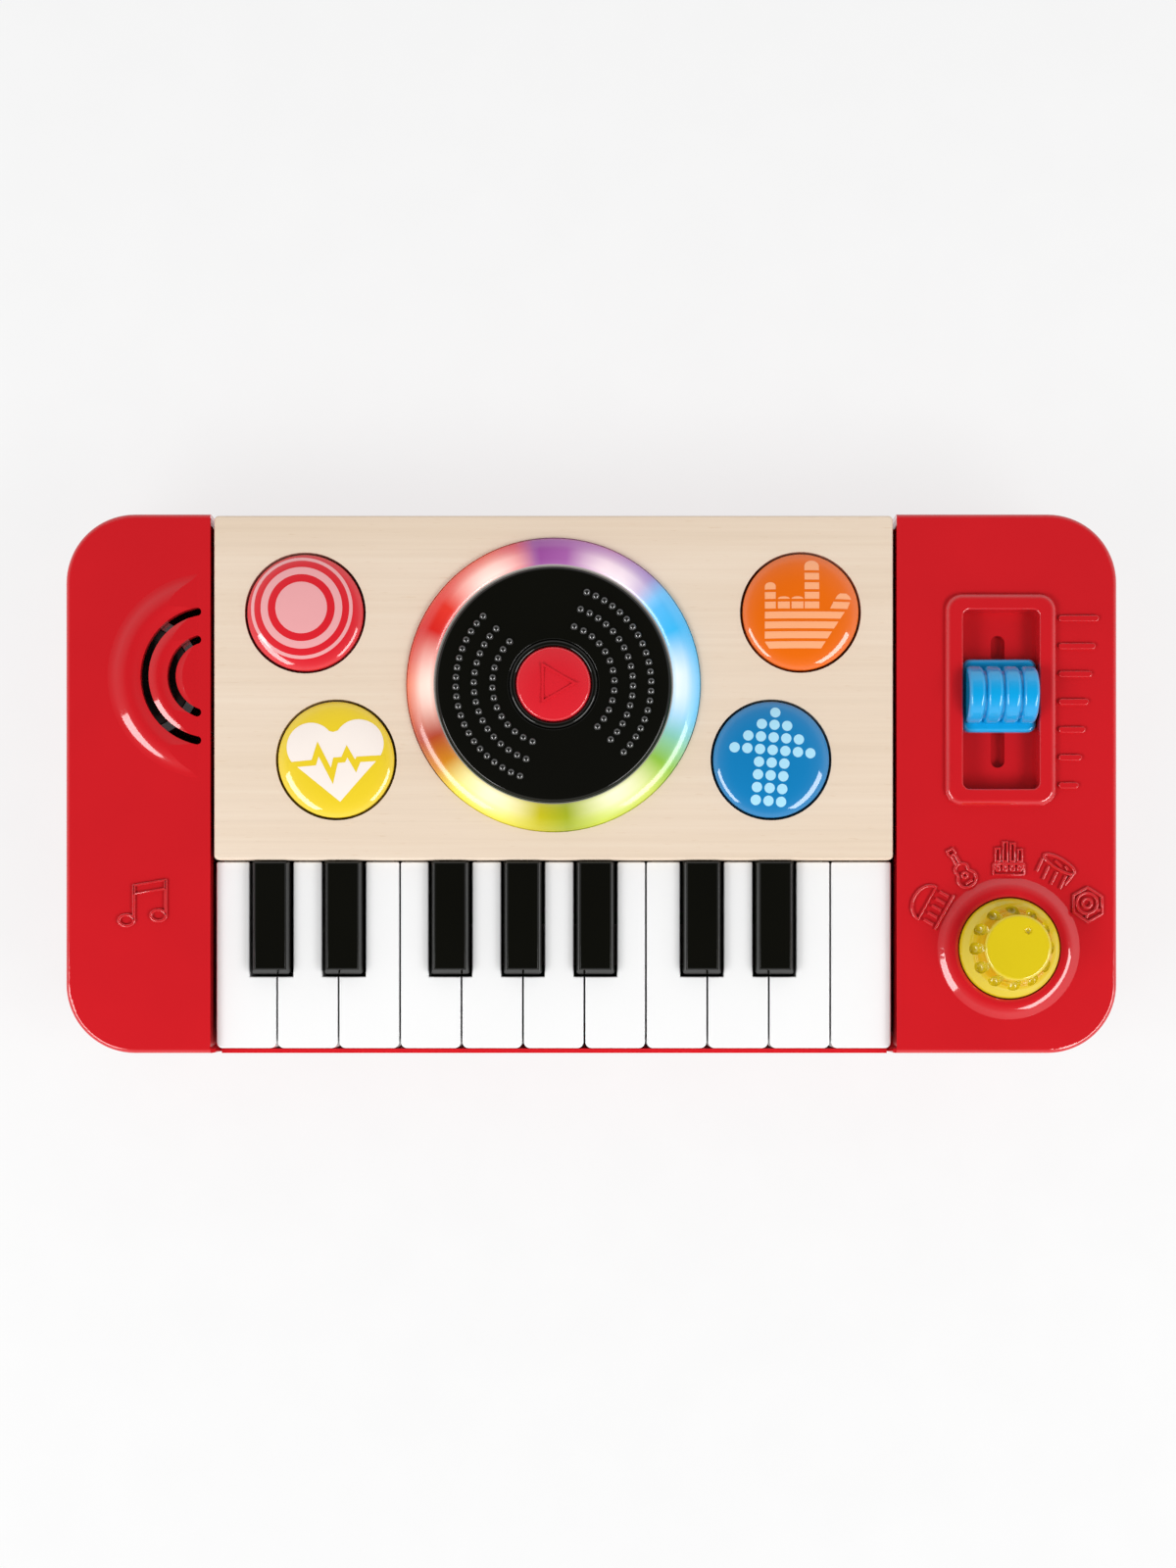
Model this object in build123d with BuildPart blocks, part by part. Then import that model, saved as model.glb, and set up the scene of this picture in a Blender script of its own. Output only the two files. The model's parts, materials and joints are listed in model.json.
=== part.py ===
from build123d import *

import math
import os

# A toy electronic keyboard, lying flat on its rubber feet, in millimetres.
# +X runs to the player's right, +Y away from the player, +Z up. The origin is the
# bottom centre of the whole toy, on the plane that the feet stand on.

os.makedirs("parts", exist_ok=True)

# --- Case -------------------------------------------------------------------
case_length = 343.0
case_depth = 176.0
corner_radius = 22.5
foot_height = 2.0
case_bottom = foot_height
parting_height = 22.0
deck_height = 46.0
wall = 2.4
floor_top = case_bottom + wall
edge_round = 1.6
bottom_edge_round = 2.5

# --- Bay between the two end covers, which holds the wooden panel and the keys
bay_center = -12.35
bay_width = 223.8
bay_left = bay_center - bay_width / 2
bay_right = bay_center + bay_width / 2
bay_wall_gap = 1.0
lip_top = 30.0
lip_thickness = 1.5
lip_proud = 0.4

# --- Wooden panel -------------------------------------------------------------
panel_thickness = 6.5
panel_top = deck_height - 0.2
panel_bottom = panel_top - panel_thickness
panel_front = -24.9
panel_back = 87.4
panel_width = bay_width - 2.3
panel_corner = 1.5
panel_edge_round = 0.8
ring_opening_gap = 0.25

# --- Keys ---------------------------------------------------------------------
white_count = 11
key_pitch = 20.15
key_gap = 0.6
white_top = 42.5
white_bottom = 27.0
white_front = -86.4
key_rear = -25.4
white_front_corner = 2.0
white_rear_corner = 0.6
key_wall = 1.8
white_edge_round = 0.5
black_top = 46.3
black_shoulder = 42.9
black_bottom = 28.0
black_front = -62.2
black_width = 12.6
black_top_width = 10.4
black_front_slope = 1.6
black_front_corner = 1.2
black_edge_round = 0.9
black_clearance = 0.8
# Each black key stands over the joint that follows this white key, moved sideways
# by the second number so that three or two of them share their space evenly.
black_places = ((0, -1.8), (1, 1.8), (3, -3.6), (4, 0.0), (5, 3.6), (7, -1.8), (8, 1.8))
pivot_y = -21.0
pivot_height = 33.0
rod_radius = 1.25
hub_bore_radius = 1.3
hub_radius = 3.2
hub_width = 7.0
arm_top = 38.2
arm_bottom = 30.0
arm_overlap = 3.0
tail_end = -8.5
tail_bottom = 27.2
tail_thickness = 2.2
plunger_y = -52.0
plunger_size = 4.5
plunger_bottom = 28.0

# --- Chassis under the keys -----------------------------------------------------
bed_bottom = 14.0
bed_thickness = 2.5
bed_top = bed_bottom + bed_thickness
board_thickness = 1.6
bed_depth = 77.0
bed_middle_y = -44.5
bed_side_gap = 2.2
bed_leg = 8.0
bed_leg_spacing = (70.0, 60.0)
bed_leg_middle_y = -46.0
rib_thickness = 1.8
rib_depth = 6.0
rib_above_rod = 3.0
rod_seat_gap = 0.03
key_board_depth = 22.0
dome_strip_depth = 14.0
dome_strip_thickness = 0.6
key_dome_radius = 4.2
dome_preload_gap = 0.05
front_felt_y = -80.0
felt_thickness = 1.5
felt_width = 3.0
front_felt_top = 23.2
rear_felt_y = -10.5
rear_felt_top = 27.1

# --- Mixing deck: light ring, turntable and play button -------------------------
deck_center = (-12.35, 32.1)
ring_radius = 47.8
ring_inner_radius = 38.6
ring_edge = 46.4
ring_crest = 48.9
ring_wall = 2.0
ring_bottom = 33.0
ring_skirt_bottom = 42.0
led_count = 6
led_size = (3.6, 3.6, 1.8)
disc_radius = 38.2
disc_top = 47.9
disc_thickness = 2.2
disc_rim_width = 1.6
disc_rim_bottom = 43.0
disc_edge_round = 0.8
base_radius = 49.4
base_bottom = 31.0
base_floor_top = ring_bottom
post_radius = 13.5
post_bore_radius = 12.7
post_flange_radius = 18.5
post_flange_height = 1.9
collar_radius = 14.35
collar_bore_radius = 12.4
collar_bottom = 46.6
collar_top = 48.4
collar_edge_drop = 0.6
play_radius = 12.1
play_guide_radius = 12.5
play_top = 50.2
play_edge = 48.9
play_edge_round = 1.0
play_wall = 1.4
play_guide_bottom = 41.0
play_roof = 47.0
play_stem_radius = 2.5
play_dome_height = 3.4
triangle_radii = (7.6, 6.2)

# --- Four round buttons in the wooden panel ------------------------------------
button_radius = 18.9
button_hole_radius = 19.75
button_flange_radius = 21.4
button_flange_bottom = 36.4
button_flange_top = 38.8
button_edge = 45.9
button_shoulder = 48.4
button_crest = 49.3
button_shoulder_radius = 14.5
button_wall = 1.6
button_stem_radius = 3.0
button_board_bottom = 24.0
dome_height = 5.6
button_dome_radius = 6.5
play_dome_radius = 4.5
left_board = ((-104.0, -70.0), (-3.0, 68.0))
main_board_area = ((42.0, 82.0), (-3.0, 70.0))
board_corner = 2.0
buttons = {
    "red_button": (-93.3, 55.6),
    "yellow_button": (-83.2, 7.7),
    "orange_button": (68.2, 55.8),
    "blue_button": (58.6, 7.7),
}

# --- Speaker under the left cover ------------------------------------------------
grille_y = 35.0
grille_radius = 33.5
# Height of the ripples above the deck against their distance from the grille's centre.
ripple_points = (
    (0.0, 1.1),
    (8.0, 0.95),
    (12.6, 0.15),
    (17.0, 1.15),
    (21.4, 0.15),
    (26.6, 1.3),
    (31.5, 0.35),
)
ripple_root = 1.0
ripple_end = 4.0
ripple_fade = 0.14
slot_radii = (12.6, 21.4)
slot_width = 2.7
slot_end_offset = 4.3
speaker_center = (-147.6, 35.0)
speaker_radius = 20.0
speaker_top = 43.3

# --- Slider on the right cover ---------------------------------------------------
slider_x = 133.3
slider_y = 27.2
frame_size = (36.2, 69.0)
frame_corner = 5.5
frame_height = 2.2
frame_outer_round = 2.1
frame_inner_round = 0.6
recess_size = (24.8, 58.3)
recess_corner = 2.2
recess_floor = 41.6
slider_slot = (4.6, 43.3)
handle_size = (24.1, 23.9)
handle_rest_offset = 1.6
handle_base_top = 45.2
handle_base_corner = 2.6
grip_top = 55.0
grip_core_length = 22.0
grip_foot = 9.4
ridge_count = 4
ridge_pitch = 5.8
ridge_width = 5.2
ridge_round = 1.4
groove_depth = 1.3
neck_size = (4.0, 8.6)
neck_corner = 1.2
lever_size = (1.2, 4.5)
lever_bottom = 33.0
lever_top = 43.0
lever_foot = (5.0, 7.0)
lever_foot_height = 1.5
shutter_size = (9.6, 77.0)
shutter_thickness = 1.0
shutter_top = 38.9
pot_size = (9.0, 75.0)
pot_bottom = 29.5
pot_top = 36.5
pot_cavity = (6.4, 46.0)
pot_cavity_bottom = 30.7
pot_cavity_height = 4.4
pot_slit = (2.0, 42.0)
pot_flange_thickness = 1.5
pot_post_radius = 3.0
pot_post_reach = (9.0, 33.5)
tick_count = 7
tick_pitch = 9.07
tick_start = 152.2
tick_longest = 165.3
tick_shortening = 1.1
tick_width = 2.0
tick_height = 1.0
tick_round = 0.35
tick_top_y = 53.7

# --- Selector knob on the right cover ----------------------------------------------
knob_center = (136.0, -53.8)
knob_radius = 16.35
knob_bottom = 44.8
knob_top = 62.2
knob_hole_radius = 16.75
knob_collar_radius = 23.2
knob_collar_crest = 19.2
knob_collar_height = 2.0
knob_well_floor = 44.2
knob_shaft_radius = 3.0
knob_shaft_hole_radius = 3.6
knob_shaft_bottom = 36.0
knob_shaft_length = 20.0
knob_socket_depth = 11.2
knob_face_radius = 9.5
notch_radius = 2.0
notch_middle_radius = 12.5
notch_bottom = 52.8
dimple_radius = 1.4
dimple_distance = 6.3
dimple_lift = 0.35
rotary_bottom = 33.0
rotary_side = 22.0
grip_notches = 12
pointer_angle = 61.0

# --- Battery bay, door and screws ---------------------------------------------------
battery_center = (-12.35, 36.0)
bay_cavity = (46.0, 57.0)
bay_roof = 20.6
door_size = (50.0, 62.0)
door_thickness = 2.1
door_fit = 0.2
tab_size = (12.0, 10.0)
cell_radius = 7.1
cell_length = 49.2
cell_pitch = 15.0
cell_height = 12.3
cell_nub = (2.6, 1.2)
contact_plate = (42.0, 0.4, 11.0)
spring_radii = (4.0, 3.0)
spring_length = 2.8
rim_margin = 6.0
rim_height = 9.0
rim_inset = 0.1
screw_radius = 1.5
screw_head_radius = 2.8
screw_head_height = 1.8
screw_cross = (3.2, 0.7)
screw_cross_depth = 0.9
screw_bite_radius = 1.6
screw_pass_radius = 1.7
screw_pocket_radius = 3.1
screw_head_gap = 0.1
boss_radius = 4.6
panel_screw_seat = 30.0
panel_screw_length = 13.5
panel_screw_bite = 4.6
cover_screw_seat = 16.0
cover_screw_length = 12.0
cover_screw_bite = 10.0
door_screw_radius = 1.15
door_screw_bite_radius = 1.25
door_screw_length = 6.0
door_screw_head_height = 1.1
door_rib_size = (24.0, 1.2)
door_rib_pitch = 3.0
door_rib_count = 5
door_rib_depth = 0.6
door_rib_offset = 20.0
panel_screws = ((-112.0, 78.0), (88.0, 78.0), (-112.0, -1.0), (88.0, -1.0))
left_cover_screws = ((-157.0, 72.0), (-157.0, -72.0))
right_cover_screws = ((107.0, 76.0), (160.0, 70.0), (107.0, -76.0), (160.0, -20.0))
cover_screws = left_cover_screws + right_cover_screws
feet = ((-140.0, -62.0), (-140.0, 62.0), (140.0, -62.0), (140.0, 62.0))
foot_radius = 7.0
foot_edge_round = 0.6
switch_center = (64.0, 60.0)
switch_slot = (14.0, 6.4)
switch_knob_size = (8.0, 5.6)
switch_knob_bottom = 1.2
switch_travel = 5.0
switch_plate = (16.0, 8.0, 1.4)
switch_tongue = (2.0, 3.0, 2.5)
switch_body = (24.0, 10.0, 7.0)
switch_gap = 0.1

# --- Small fits between pieces ------------------------------------------------------
touching_gap = 0.05
running_gap = 0.07
dome_skirt = 0.9
wire_radius = 0.7
wire_bend = 3.0


def save(part, name):
    """Label one finished piece and write it."""
    part.label = name
    export_step(part, f"parts/{name}.step")


def outline(size_offset=0.0):
    """The rounded outline of the whole case, made larger or smaller all round."""
    RectangleRounded(
        case_length + 2 * size_offset,
        case_depth + 2 * size_offset,
        corner_radius + size_offset,
    )


# --- Lower case: tray, back wall of the bay, front lip, battery bay and screw posts ---
bay_wall_width = bay_width - 2 * bay_wall_gap
door_screw = (battery_center[0], battery_center[1] + door_size[1] / 2 + tab_size[1] / 2)

with BuildPart() as lower_case:
    with BuildSketch(Plane.XY.offset(case_bottom)):
        outline()
    extrude(amount=parting_height - case_bottom)
    fillet(lower_case.faces().sort_by(Axis.Z)[0].edges(), bottom_edge_round)
    with BuildSketch(Plane.XY.offset(floor_top)):
        outline(-wall)
    extrude(amount=parting_height, mode=Mode.SUBTRACT)
    # The back wall rises behind the bay to carry the wooden panel.
    with BuildSketch(Plane.XY.offset(floor_top)):
        with Locations((bay_center, case_depth / 2 - wall / 2)):
            Rectangle(bay_wall_width, wall)
    extrude(amount=panel_bottom - floor_top)
    # The front lip covers the lower part of the key fronts.
    with BuildSketch(Plane.XY.offset(case_bottom + bottom_edge_round)):
        with Locations((bay_center, -case_depth / 2 + lip_thickness / 2 - lip_proud)):
            Rectangle(bay_wall_width, lip_thickness)
    extrude(amount=lip_top - case_bottom - bottom_edge_round)
    # Thick rim around the battery opening, then the walls and roof of the bay.
    with BuildSketch(Plane.XY.offset(case_bottom + rim_inset)):
        with Locations(battery_center):
            Rectangle(door_size[0] + rim_margin, door_size[1] + rim_margin)
        with Locations(door_screw):
            Rectangle(tab_size[0] + rim_margin, tab_size[1] + rim_margin / 2)
    extrude(amount=rim_height)
    with BuildSketch(Plane.XY.offset(floor_top)):
        with Locations(battery_center):
            Rectangle(bay_cavity[0] + 2 * wall, bay_cavity[1] + 2 * wall)
    extrude(amount=bay_roof + wall - floor_top)
    with BuildSketch(Plane.XY.offset(case_bottom)):
        with Locations(battery_center):
            Rectangle(*bay_cavity)
    extrude(amount=bay_roof - case_bottom, mode=Mode.SUBTRACT)
    with BuildSketch(Plane.XY.offset(case_bottom)):
        with Locations(battery_center):
            Rectangle(door_size[0] + 2 * door_fit, door_size[1] + 2 * door_fit)
        with Locations(door_screw):
            Rectangle(tab_size[0] + 2 * door_fit, tab_size[1] + 2 * door_fit)
    extrude(amount=door_thickness + rim_inset, mode=Mode.SUBTRACT)
    with Locations((*door_screw, case_bottom + door_thickness)):
        Cylinder(
            door_screw_bite_radius,
            door_screw_length,
            align=(Align.CENTER, Align.CENTER, Align.MIN),
            mode=Mode.SUBTRACT,
        )
    # Posts for the screws of the wooden panel and of the two covers.
    with Locations(*[(x, y, floor_top) for x, y in panel_screws]):
        Cylinder(boss_radius, panel_bottom - floor_top, align=(Align.CENTER, Align.CENTER, Align.MIN))
    with Locations(*[(x, y, floor_top) for x, y in cover_screws]):
        Cylinder(boss_radius, parting_height - floor_top, align=(Align.CENTER, Align.CENTER, Align.MIN))
    for places, seat in ((panel_screws, panel_screw_seat), (cover_screws, cover_screw_seat)):
        with Locations(*[(x, y, case_bottom) for x, y in places]):
            Cylinder(
                screw_pocket_radius,
                seat - case_bottom,
                align=(Align.CENTER, Align.CENTER, Align.MIN),
                mode=Mode.SUBTRACT,
            )
            Cylinder(
                screw_pass_radius,
                panel_bottom,
                align=(Align.CENTER, Align.CENTER, Align.MIN),
                mode=Mode.SUBTRACT,
            )
    # Slot for the power switch.
    with BuildSketch(Plane.XY.offset(case_bottom)):
        with Locations(switch_center):
            SlotOverall(*switch_slot)
    extrude(amount=wall, mode=Mode.SUBTRACT)
save(lower_case.part, "lower_case")

# --- Covers over the two ends ------------------------------------------------------


def start_cover(side):
    """The plain shell of one end cover: side is -1 for the left one and 1 for the right one."""
    seam = bay_left if side < 0 else bay_right
    far = side * case_length
    middle = (seam + far) / 2
    with BuildPart() as cover:
        with BuildSketch(Plane.XY.offset(parting_height)):
            outline()
            with Locations((middle, 0)):
                Rectangle(abs(far - seam), case_depth, mode=Mode.INTERSECT)
        extrude(amount=deck_height - parting_height)
        top_edges = cover.faces().sort_by(Axis.Z)[-1].edges()
        seam_edge = top_edges.sort_by(Axis.X)[-1 if side < 0 else 0]
        fillet([edge for edge in top_edges if edge != seam_edge], edge_round)
        with BuildSketch(Plane.XY.offset(parting_height)):
            outline(-wall)
            with Locations((middle + side * wall, 0)):
                Rectangle(abs(far - seam), case_depth, mode=Mode.INTERSECT)
        extrude(amount=deck_height - parting_height - wall, mode=Mode.SUBTRACT)
    return cover.part


def cover_posts(screws):
    """The screw posts that hang from the top of one cover."""
    with BuildPart() as posts:
        with Locations(*[(x, y, parting_height) for x, y in screws]):
            Cylinder(
                boss_radius,
                deck_height - parting_height - wall + 0.5,
                align=(Align.CENTER, Align.CENTER, Align.MIN),
            )
            Cylinder(
                screw_bite_radius,
                cover_screw_bite,
                align=(Align.CENTER, Align.CENTER, Align.MIN),
                mode=Mode.SUBTRACT,
            )
    return posts.part


grille_plane = Plane(origin=(bay_left, grille_y, deck_height), x_dir=(0, 1, 0), z_dir=(1, 0, 0))

with BuildPart() as grille_ripples:
    with BuildSketch(grille_plane):
        with BuildLine():
            Spline(*ripple_points, (grille_radius, 0.0), tangents=((1, 0), (1, -0.1)))
            Polyline(
                (grille_radius, 0.0),
                (grille_radius, -ripple_root),
                (0.0, -ripple_root),
                (0.0, ripple_points[0][1]),
            )
        make_face()
    revolve(axis=Axis((bay_left, grille_y, deck_height), (0, 0, 1)), revolution_arc=180)
    # The ripples sink into the deck towards the seam.
    fade_plane = Plane((bay_left - ripple_end, grille_y, deck_height), z_dir=(ripple_fade, 0, 1))
    split(bisect_by=fade_plane, keep=Keep.BOTTOM)

with BuildPart() as left_cover:
    add(start_cover(-1))
    add(cover_posts(left_cover_screws))
    add(grille_ripples.part)
    # Curved slots with round ends that let the sound out.
    with BuildSketch(Plane((bay_left, grille_y, deck_height - wall - 1.0))):
        for radius in reversed(slot_radii):
            Circle(radius + slot_width / 2)
            Circle(radius - slot_width / 2, mode=Mode.SUBTRACT)
        with Locations((-slot_end_offset, 0)):
            Rectangle(
                grille_radius + slot_end_offset,
                2 * grille_radius,
                align=(Align.MIN, Align.CENTER),
                mode=Mode.SUBTRACT,
            )
        for radius in slot_radii:
            slot_end = math.sqrt(radius**2 - slot_end_offset**2)
            with Locations((-slot_end_offset, slot_end), (-slot_end_offset, -slot_end)):
                Circle(slot_width / 2)
    extrude(amount=wall + 4.0, mode=Mode.SUBTRACT)
save(left_cover.part, "left_cover")

with BuildPart() as right_cover:
    add(start_cover(1))
    add(cover_posts(right_cover_screws))
    # Raised rounded frame with a sunk track for the slider.
    with BuildSketch(Plane.XY.offset(recess_floor - wall)):
        with Locations((slider_x, slider_y)):
            RectangleRounded(recess_size[0] + 2 * wall, recess_size[1] + 2 * wall, recess_corner + wall)
    extrude(amount=deck_height - recess_floor)
    with BuildSketch(Plane.XY.offset(deck_height - 0.5)):
        with Locations((slider_x, slider_y)):
            RectangleRounded(*frame_size, frame_corner)
    extrude(amount=frame_height + 0.5)
    frame_edges = right_cover.faces().sort_by(Axis.Z)[-1].edges()
    fillet(frame_edges, frame_outer_round)
    with BuildSketch(Plane.XY.offset(recess_floor)):
        with Locations((slider_x, slider_y)):
            RectangleRounded(*recess_size, recess_corner)
    extrude(amount=deck_height, mode=Mode.SUBTRACT)
    rim_edges = right_cover.faces().sort_by(Axis.Z)[-1].inner_wires()[0].edges()
    fillet(rim_edges, frame_inner_round)
    with BuildSketch(Plane.XY.offset(recess_floor - wall - 1.0)):
        with Locations((slider_x, slider_y)):
            SlotOverall(slider_slot[1], slider_slot[0], rotation=90)
    extrude(amount=wall + 2.0, mode=Mode.SUBTRACT)
    # Posts that hold the slide potentiometer under the track, clear of the dust shutter.
    with Locations((slider_x, slider_y, pot_top)):
        with GridLocations(2 * pot_post_reach[0], 2 * pot_post_reach[1], 2, 2):
            Cylinder(
                pot_post_radius,
                deck_height - wall / 2 - pot_top,
                align=(Align.CENTER, Align.CENTER, Align.MIN),
            )
    # Raised collar and well for the selector knob.
    with BuildSketch(Plane(origin=(*knob_center, deck_height), x_dir=(1, 0, 0), z_dir=(0, -1, 0))):
        with BuildLine():
            Polyline((0, -0.5), (0, knob_collar_height - 0.3), (knob_hole_radius, knob_collar_height - 0.3))
            Spline(
                (knob_hole_radius, knob_collar_height - 0.3),
                (knob_collar_crest - 0.6, knob_collar_height),
                (21.6, 0.9),
                (knob_collar_radius, 0.0),
                tangents=((1, 0.5), (1, -0.4)),
            )
            Polyline((knob_collar_radius, 0.0), (knob_collar_radius, -0.5), (0, -0.5))
        make_face()
    revolve(axis=Axis((*knob_center, 0), (0, 0, 1)))
    with Locations((*knob_center, knob_well_floor - wall)):
        Cylinder(knob_hole_radius + wall, wall + 1.0, align=(Align.CENTER, Align.CENTER, Align.MIN))
    with Locations((*knob_center, knob_well_floor)):
        Cylinder(knob_hole_radius, 10.0, align=(Align.CENTER, Align.CENTER, Align.MIN), mode=Mode.SUBTRACT)
    with Locations((*knob_center, knob_well_floor - wall - 1.0)):
        Cylinder(
            knob_shaft_hole_radius,
            10.0,
            align=(Align.CENTER, Align.CENTER, Align.MIN),
            mode=Mode.SUBTRACT,
        )
    # Scale marks beside the slider, each shorter than the one behind it.
    with BuildSketch(Plane.XY.offset(deck_height - wall / 2)):
        for index in range(tick_count):
            tick_length = tick_longest - index * tick_shortening - tick_start
            tick_y = tick_top_y - index * tick_pitch
            with Locations((tick_start + tick_length / 2, tick_y)):
                SlotOverall(tick_length, tick_width)
    extrude(amount=wall / 2 + tick_height)
    tick_tops = right_cover.faces().filter_by_position(
        Axis.Z,
        deck_height + tick_height - 0.01,
        deck_height + tick_height + 0.01,
    )
    fillet(tick_tops.edges(), tick_round)
save(right_cover.part, "right_cover")

# --- Wooden panel ---------------------------------------------------------------------
with BuildPart() as wood_panel:
    with BuildSketch(Plane.XY.offset(panel_bottom)):
        with Locations((bay_center, (panel_front + panel_back) / 2)):
            RectangleRounded(panel_width, panel_back - panel_front, panel_corner)
    extrude(amount=panel_thickness)
    fillet(wood_panel.faces().sort_by(Axis.Z)[-1].edges(), panel_edge_round)
    with Locations((*deck_center, panel_bottom)):
        Cylinder(
            ring_radius + ring_opening_gap,
            panel_thickness,
            align=(Align.CENTER, Align.CENTER, Align.MIN),
            mode=Mode.SUBTRACT,
        )
    with Locations(*[(x, y, panel_bottom) for x, y in buttons.values()]):
        Cylinder(
            button_hole_radius,
            panel_thickness,
            align=(Align.CENTER, Align.CENTER, Align.MIN),
            mode=Mode.SUBTRACT,
        )
    with Locations(*[(x, y, panel_bottom) for x, y in panel_screws]):
        Cylinder(
            screw_bite_radius,
            panel_screw_bite,
            align=(Align.CENTER, Align.CENTER, Align.MIN),
            mode=Mode.SUBTRACT,
        )
save(wood_panel.part, "wood_panel")

# --- Keys -----------------------------------------------------------------------------


def white_center(index):
    """The x of the middle of a white key, counted from the left."""
    return bay_center + (index - (white_count - 1) / 2) * key_pitch


black_centers = [white_center(after) + key_pitch / 2 + shift for after, shift in black_places]


def white_lane(index):
    """The low and high x of the narrow rear part of a white key, between its black neighbours."""
    low = white_center(index) - (key_pitch - key_gap) / 2
    high = white_center(index) + (key_pitch - key_gap) / 2
    reach = black_width / 2 + black_clearance
    for center in black_centers:
        if center - reach < high and center > white_center(index):
            high = min(high, center - reach)
        if center + reach > low and center < white_center(index):
            low = max(low, center + reach)
    return low, high


def key_rear_end(x):
    """Plunger, arm, hub and tail that every key has behind and under its visible top."""
    with BuildPart() as rear:
        with BuildSketch(Plane.XY.offset(arm_bottom)):
            with Locations((x, (key_rear - arm_overlap + pivot_y) / 2)):
                Rectangle(hub_width, pivot_y - key_rear + arm_overlap)
        extrude(amount=arm_top - arm_bottom)
        with BuildSketch(Plane.XY.offset(tail_bottom)):
            with Locations((x, (pivot_y + tail_end) / 2)):
                Rectangle(hub_width, tail_end - pivot_y)
        extrude(amount=tail_thickness)
        with BuildSketch(Plane.YZ.offset(x - hub_width / 2)):
            with Locations((pivot_y, pivot_height)):
                Circle(hub_radius)
        extrude(amount=hub_width)
        with BuildSketch(Plane.YZ.offset(x - hub_width / 2)):
            with Locations((pivot_y, pivot_height)):
                Circle(hub_bore_radius)
        extrude(amount=hub_width, mode=Mode.SUBTRACT)
        with BuildSketch(Plane.XY.offset(plunger_bottom)):
            with Locations((x, plunger_y)):
                Rectangle(plunger_size, plunger_size)
        extrude(amount=white_top - key_wall - plunger_bottom)
    return rear.part


def make_white_key(index):
    """A hollow white key with cut-outs beside the black keys."""
    low = white_center(index) - (key_pitch - key_gap) / 2
    high = white_center(index) + (key_pitch - key_gap) / 2
    rear_low, rear_high = white_lane(index)
    notch_front = black_front - black_clearance
    notch_length = key_rear - notch_front
    with BuildPart() as key:
        with BuildSketch(Plane.XY.offset(white_bottom)) as top_view:
            with Locations((white_center(index), (white_front + key_rear) / 2)):
                Rectangle(high - low, key_rear - white_front)
            for edge_low, edge_high in ((low, rear_low), (rear_high, high)):
                if edge_high > edge_low:
                    with Locations(((edge_low + edge_high) / 2, notch_front + notch_length / 2)):
                        Rectangle(edge_high - edge_low, notch_length, mode=Mode.SUBTRACT)
            fillet(top_view.vertices().group_by(Axis.Y)[0], white_front_corner)
            fillet(top_view.vertices().group_by(Axis.Y)[-1], white_rear_corner)
        extrude(amount=white_top - white_bottom)
        fillet(key.faces().sort_by(Axis.Z)[-1].edges(), white_edge_round)
        with BuildSketch(Plane.XY.offset(white_bottom)):
            add(top_view.sketch_local)
            offset(amount=-key_wall, mode=Mode.REPLACE)
        extrude(amount=white_top - white_bottom - key_wall, mode=Mode.SUBTRACT)
        add(key_rear_end((rear_low + rear_high) / 2))
    return key.part


def make_black_key(center):
    """A black key with sloped sides and a sloped front."""
    half = black_width / 2
    top_half = black_top_width / 2
    slope_length = math.hypot(black_front_slope, black_top - black_shoulder)
    slope_normal = (
        0,
        -(black_top - black_shoulder) / slope_length,
        black_front_slope / slope_length,
    )
    with BuildPart() as key:
        with BuildSketch(Plane(origin=(center, key_rear, 0), x_dir=(1, 0, 0), z_dir=(0, -1, 0))):
            with BuildLine():
                Polyline(
                    (-half, black_bottom),
                    (half, black_bottom),
                    (half, black_shoulder),
                    (top_half, black_top),
                    (-top_half, black_top),
                    (-half, black_shoulder),
                    close=True,
                )
            make_face()
        extrude(amount=key_rear - black_front)
        split(bisect_by=Plane((center, black_front, black_shoulder), z_dir=slope_normal), keep=Keep.BOTTOM)
        fillet(key.edges().filter_by(Axis.Z).group_by(Axis.Y)[0], black_front_corner)
        fillet(key.edges().filter_by(lambda edge: edge.center().Z > black_top - 0.01), black_edge_round)
        with BuildSketch(Plane.XY.offset(black_bottom)):
            with Locations((center, (black_front + key_rear) / 2)):
                Rectangle(black_width - 2 * key_wall, key_rear - black_front - 2 * key_wall)
        extrude(amount=white_top - key_wall - black_bottom, mode=Mode.SUBTRACT)
        add(key_rear_end(center))
    return key.part


for key_index in range(white_count):
    save(make_white_key(key_index), f"white_key_{key_index + 1:02d}")

for key_index, key_center in enumerate(black_centers):
    save(make_black_key(key_center), f"black_key_{key_index + 1:02d}")

# --- Chassis of the keys ---------------------------------------------------------------
lane_centers = sorted([sum(white_lane(index)) / 2 for index in range(white_count)] + black_centers)
bed_low = bay_left + bed_side_gap
bed_high = bay_right - bed_side_gap
rib_places = [lane_centers[0] - hub_width / 2 - rib_thickness / 2 - 0.5]
for left, right in zip(lane_centers[1::3], lane_centers[2::3]):
    rib_places.append((left + right) / 2)
rib_places[-1] = lane_centers[-1] + hub_width / 2 + rib_thickness / 2 + 0.5

felt_places = ((front_felt_y, front_felt_top), (rear_felt_y, rear_felt_top))

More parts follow.
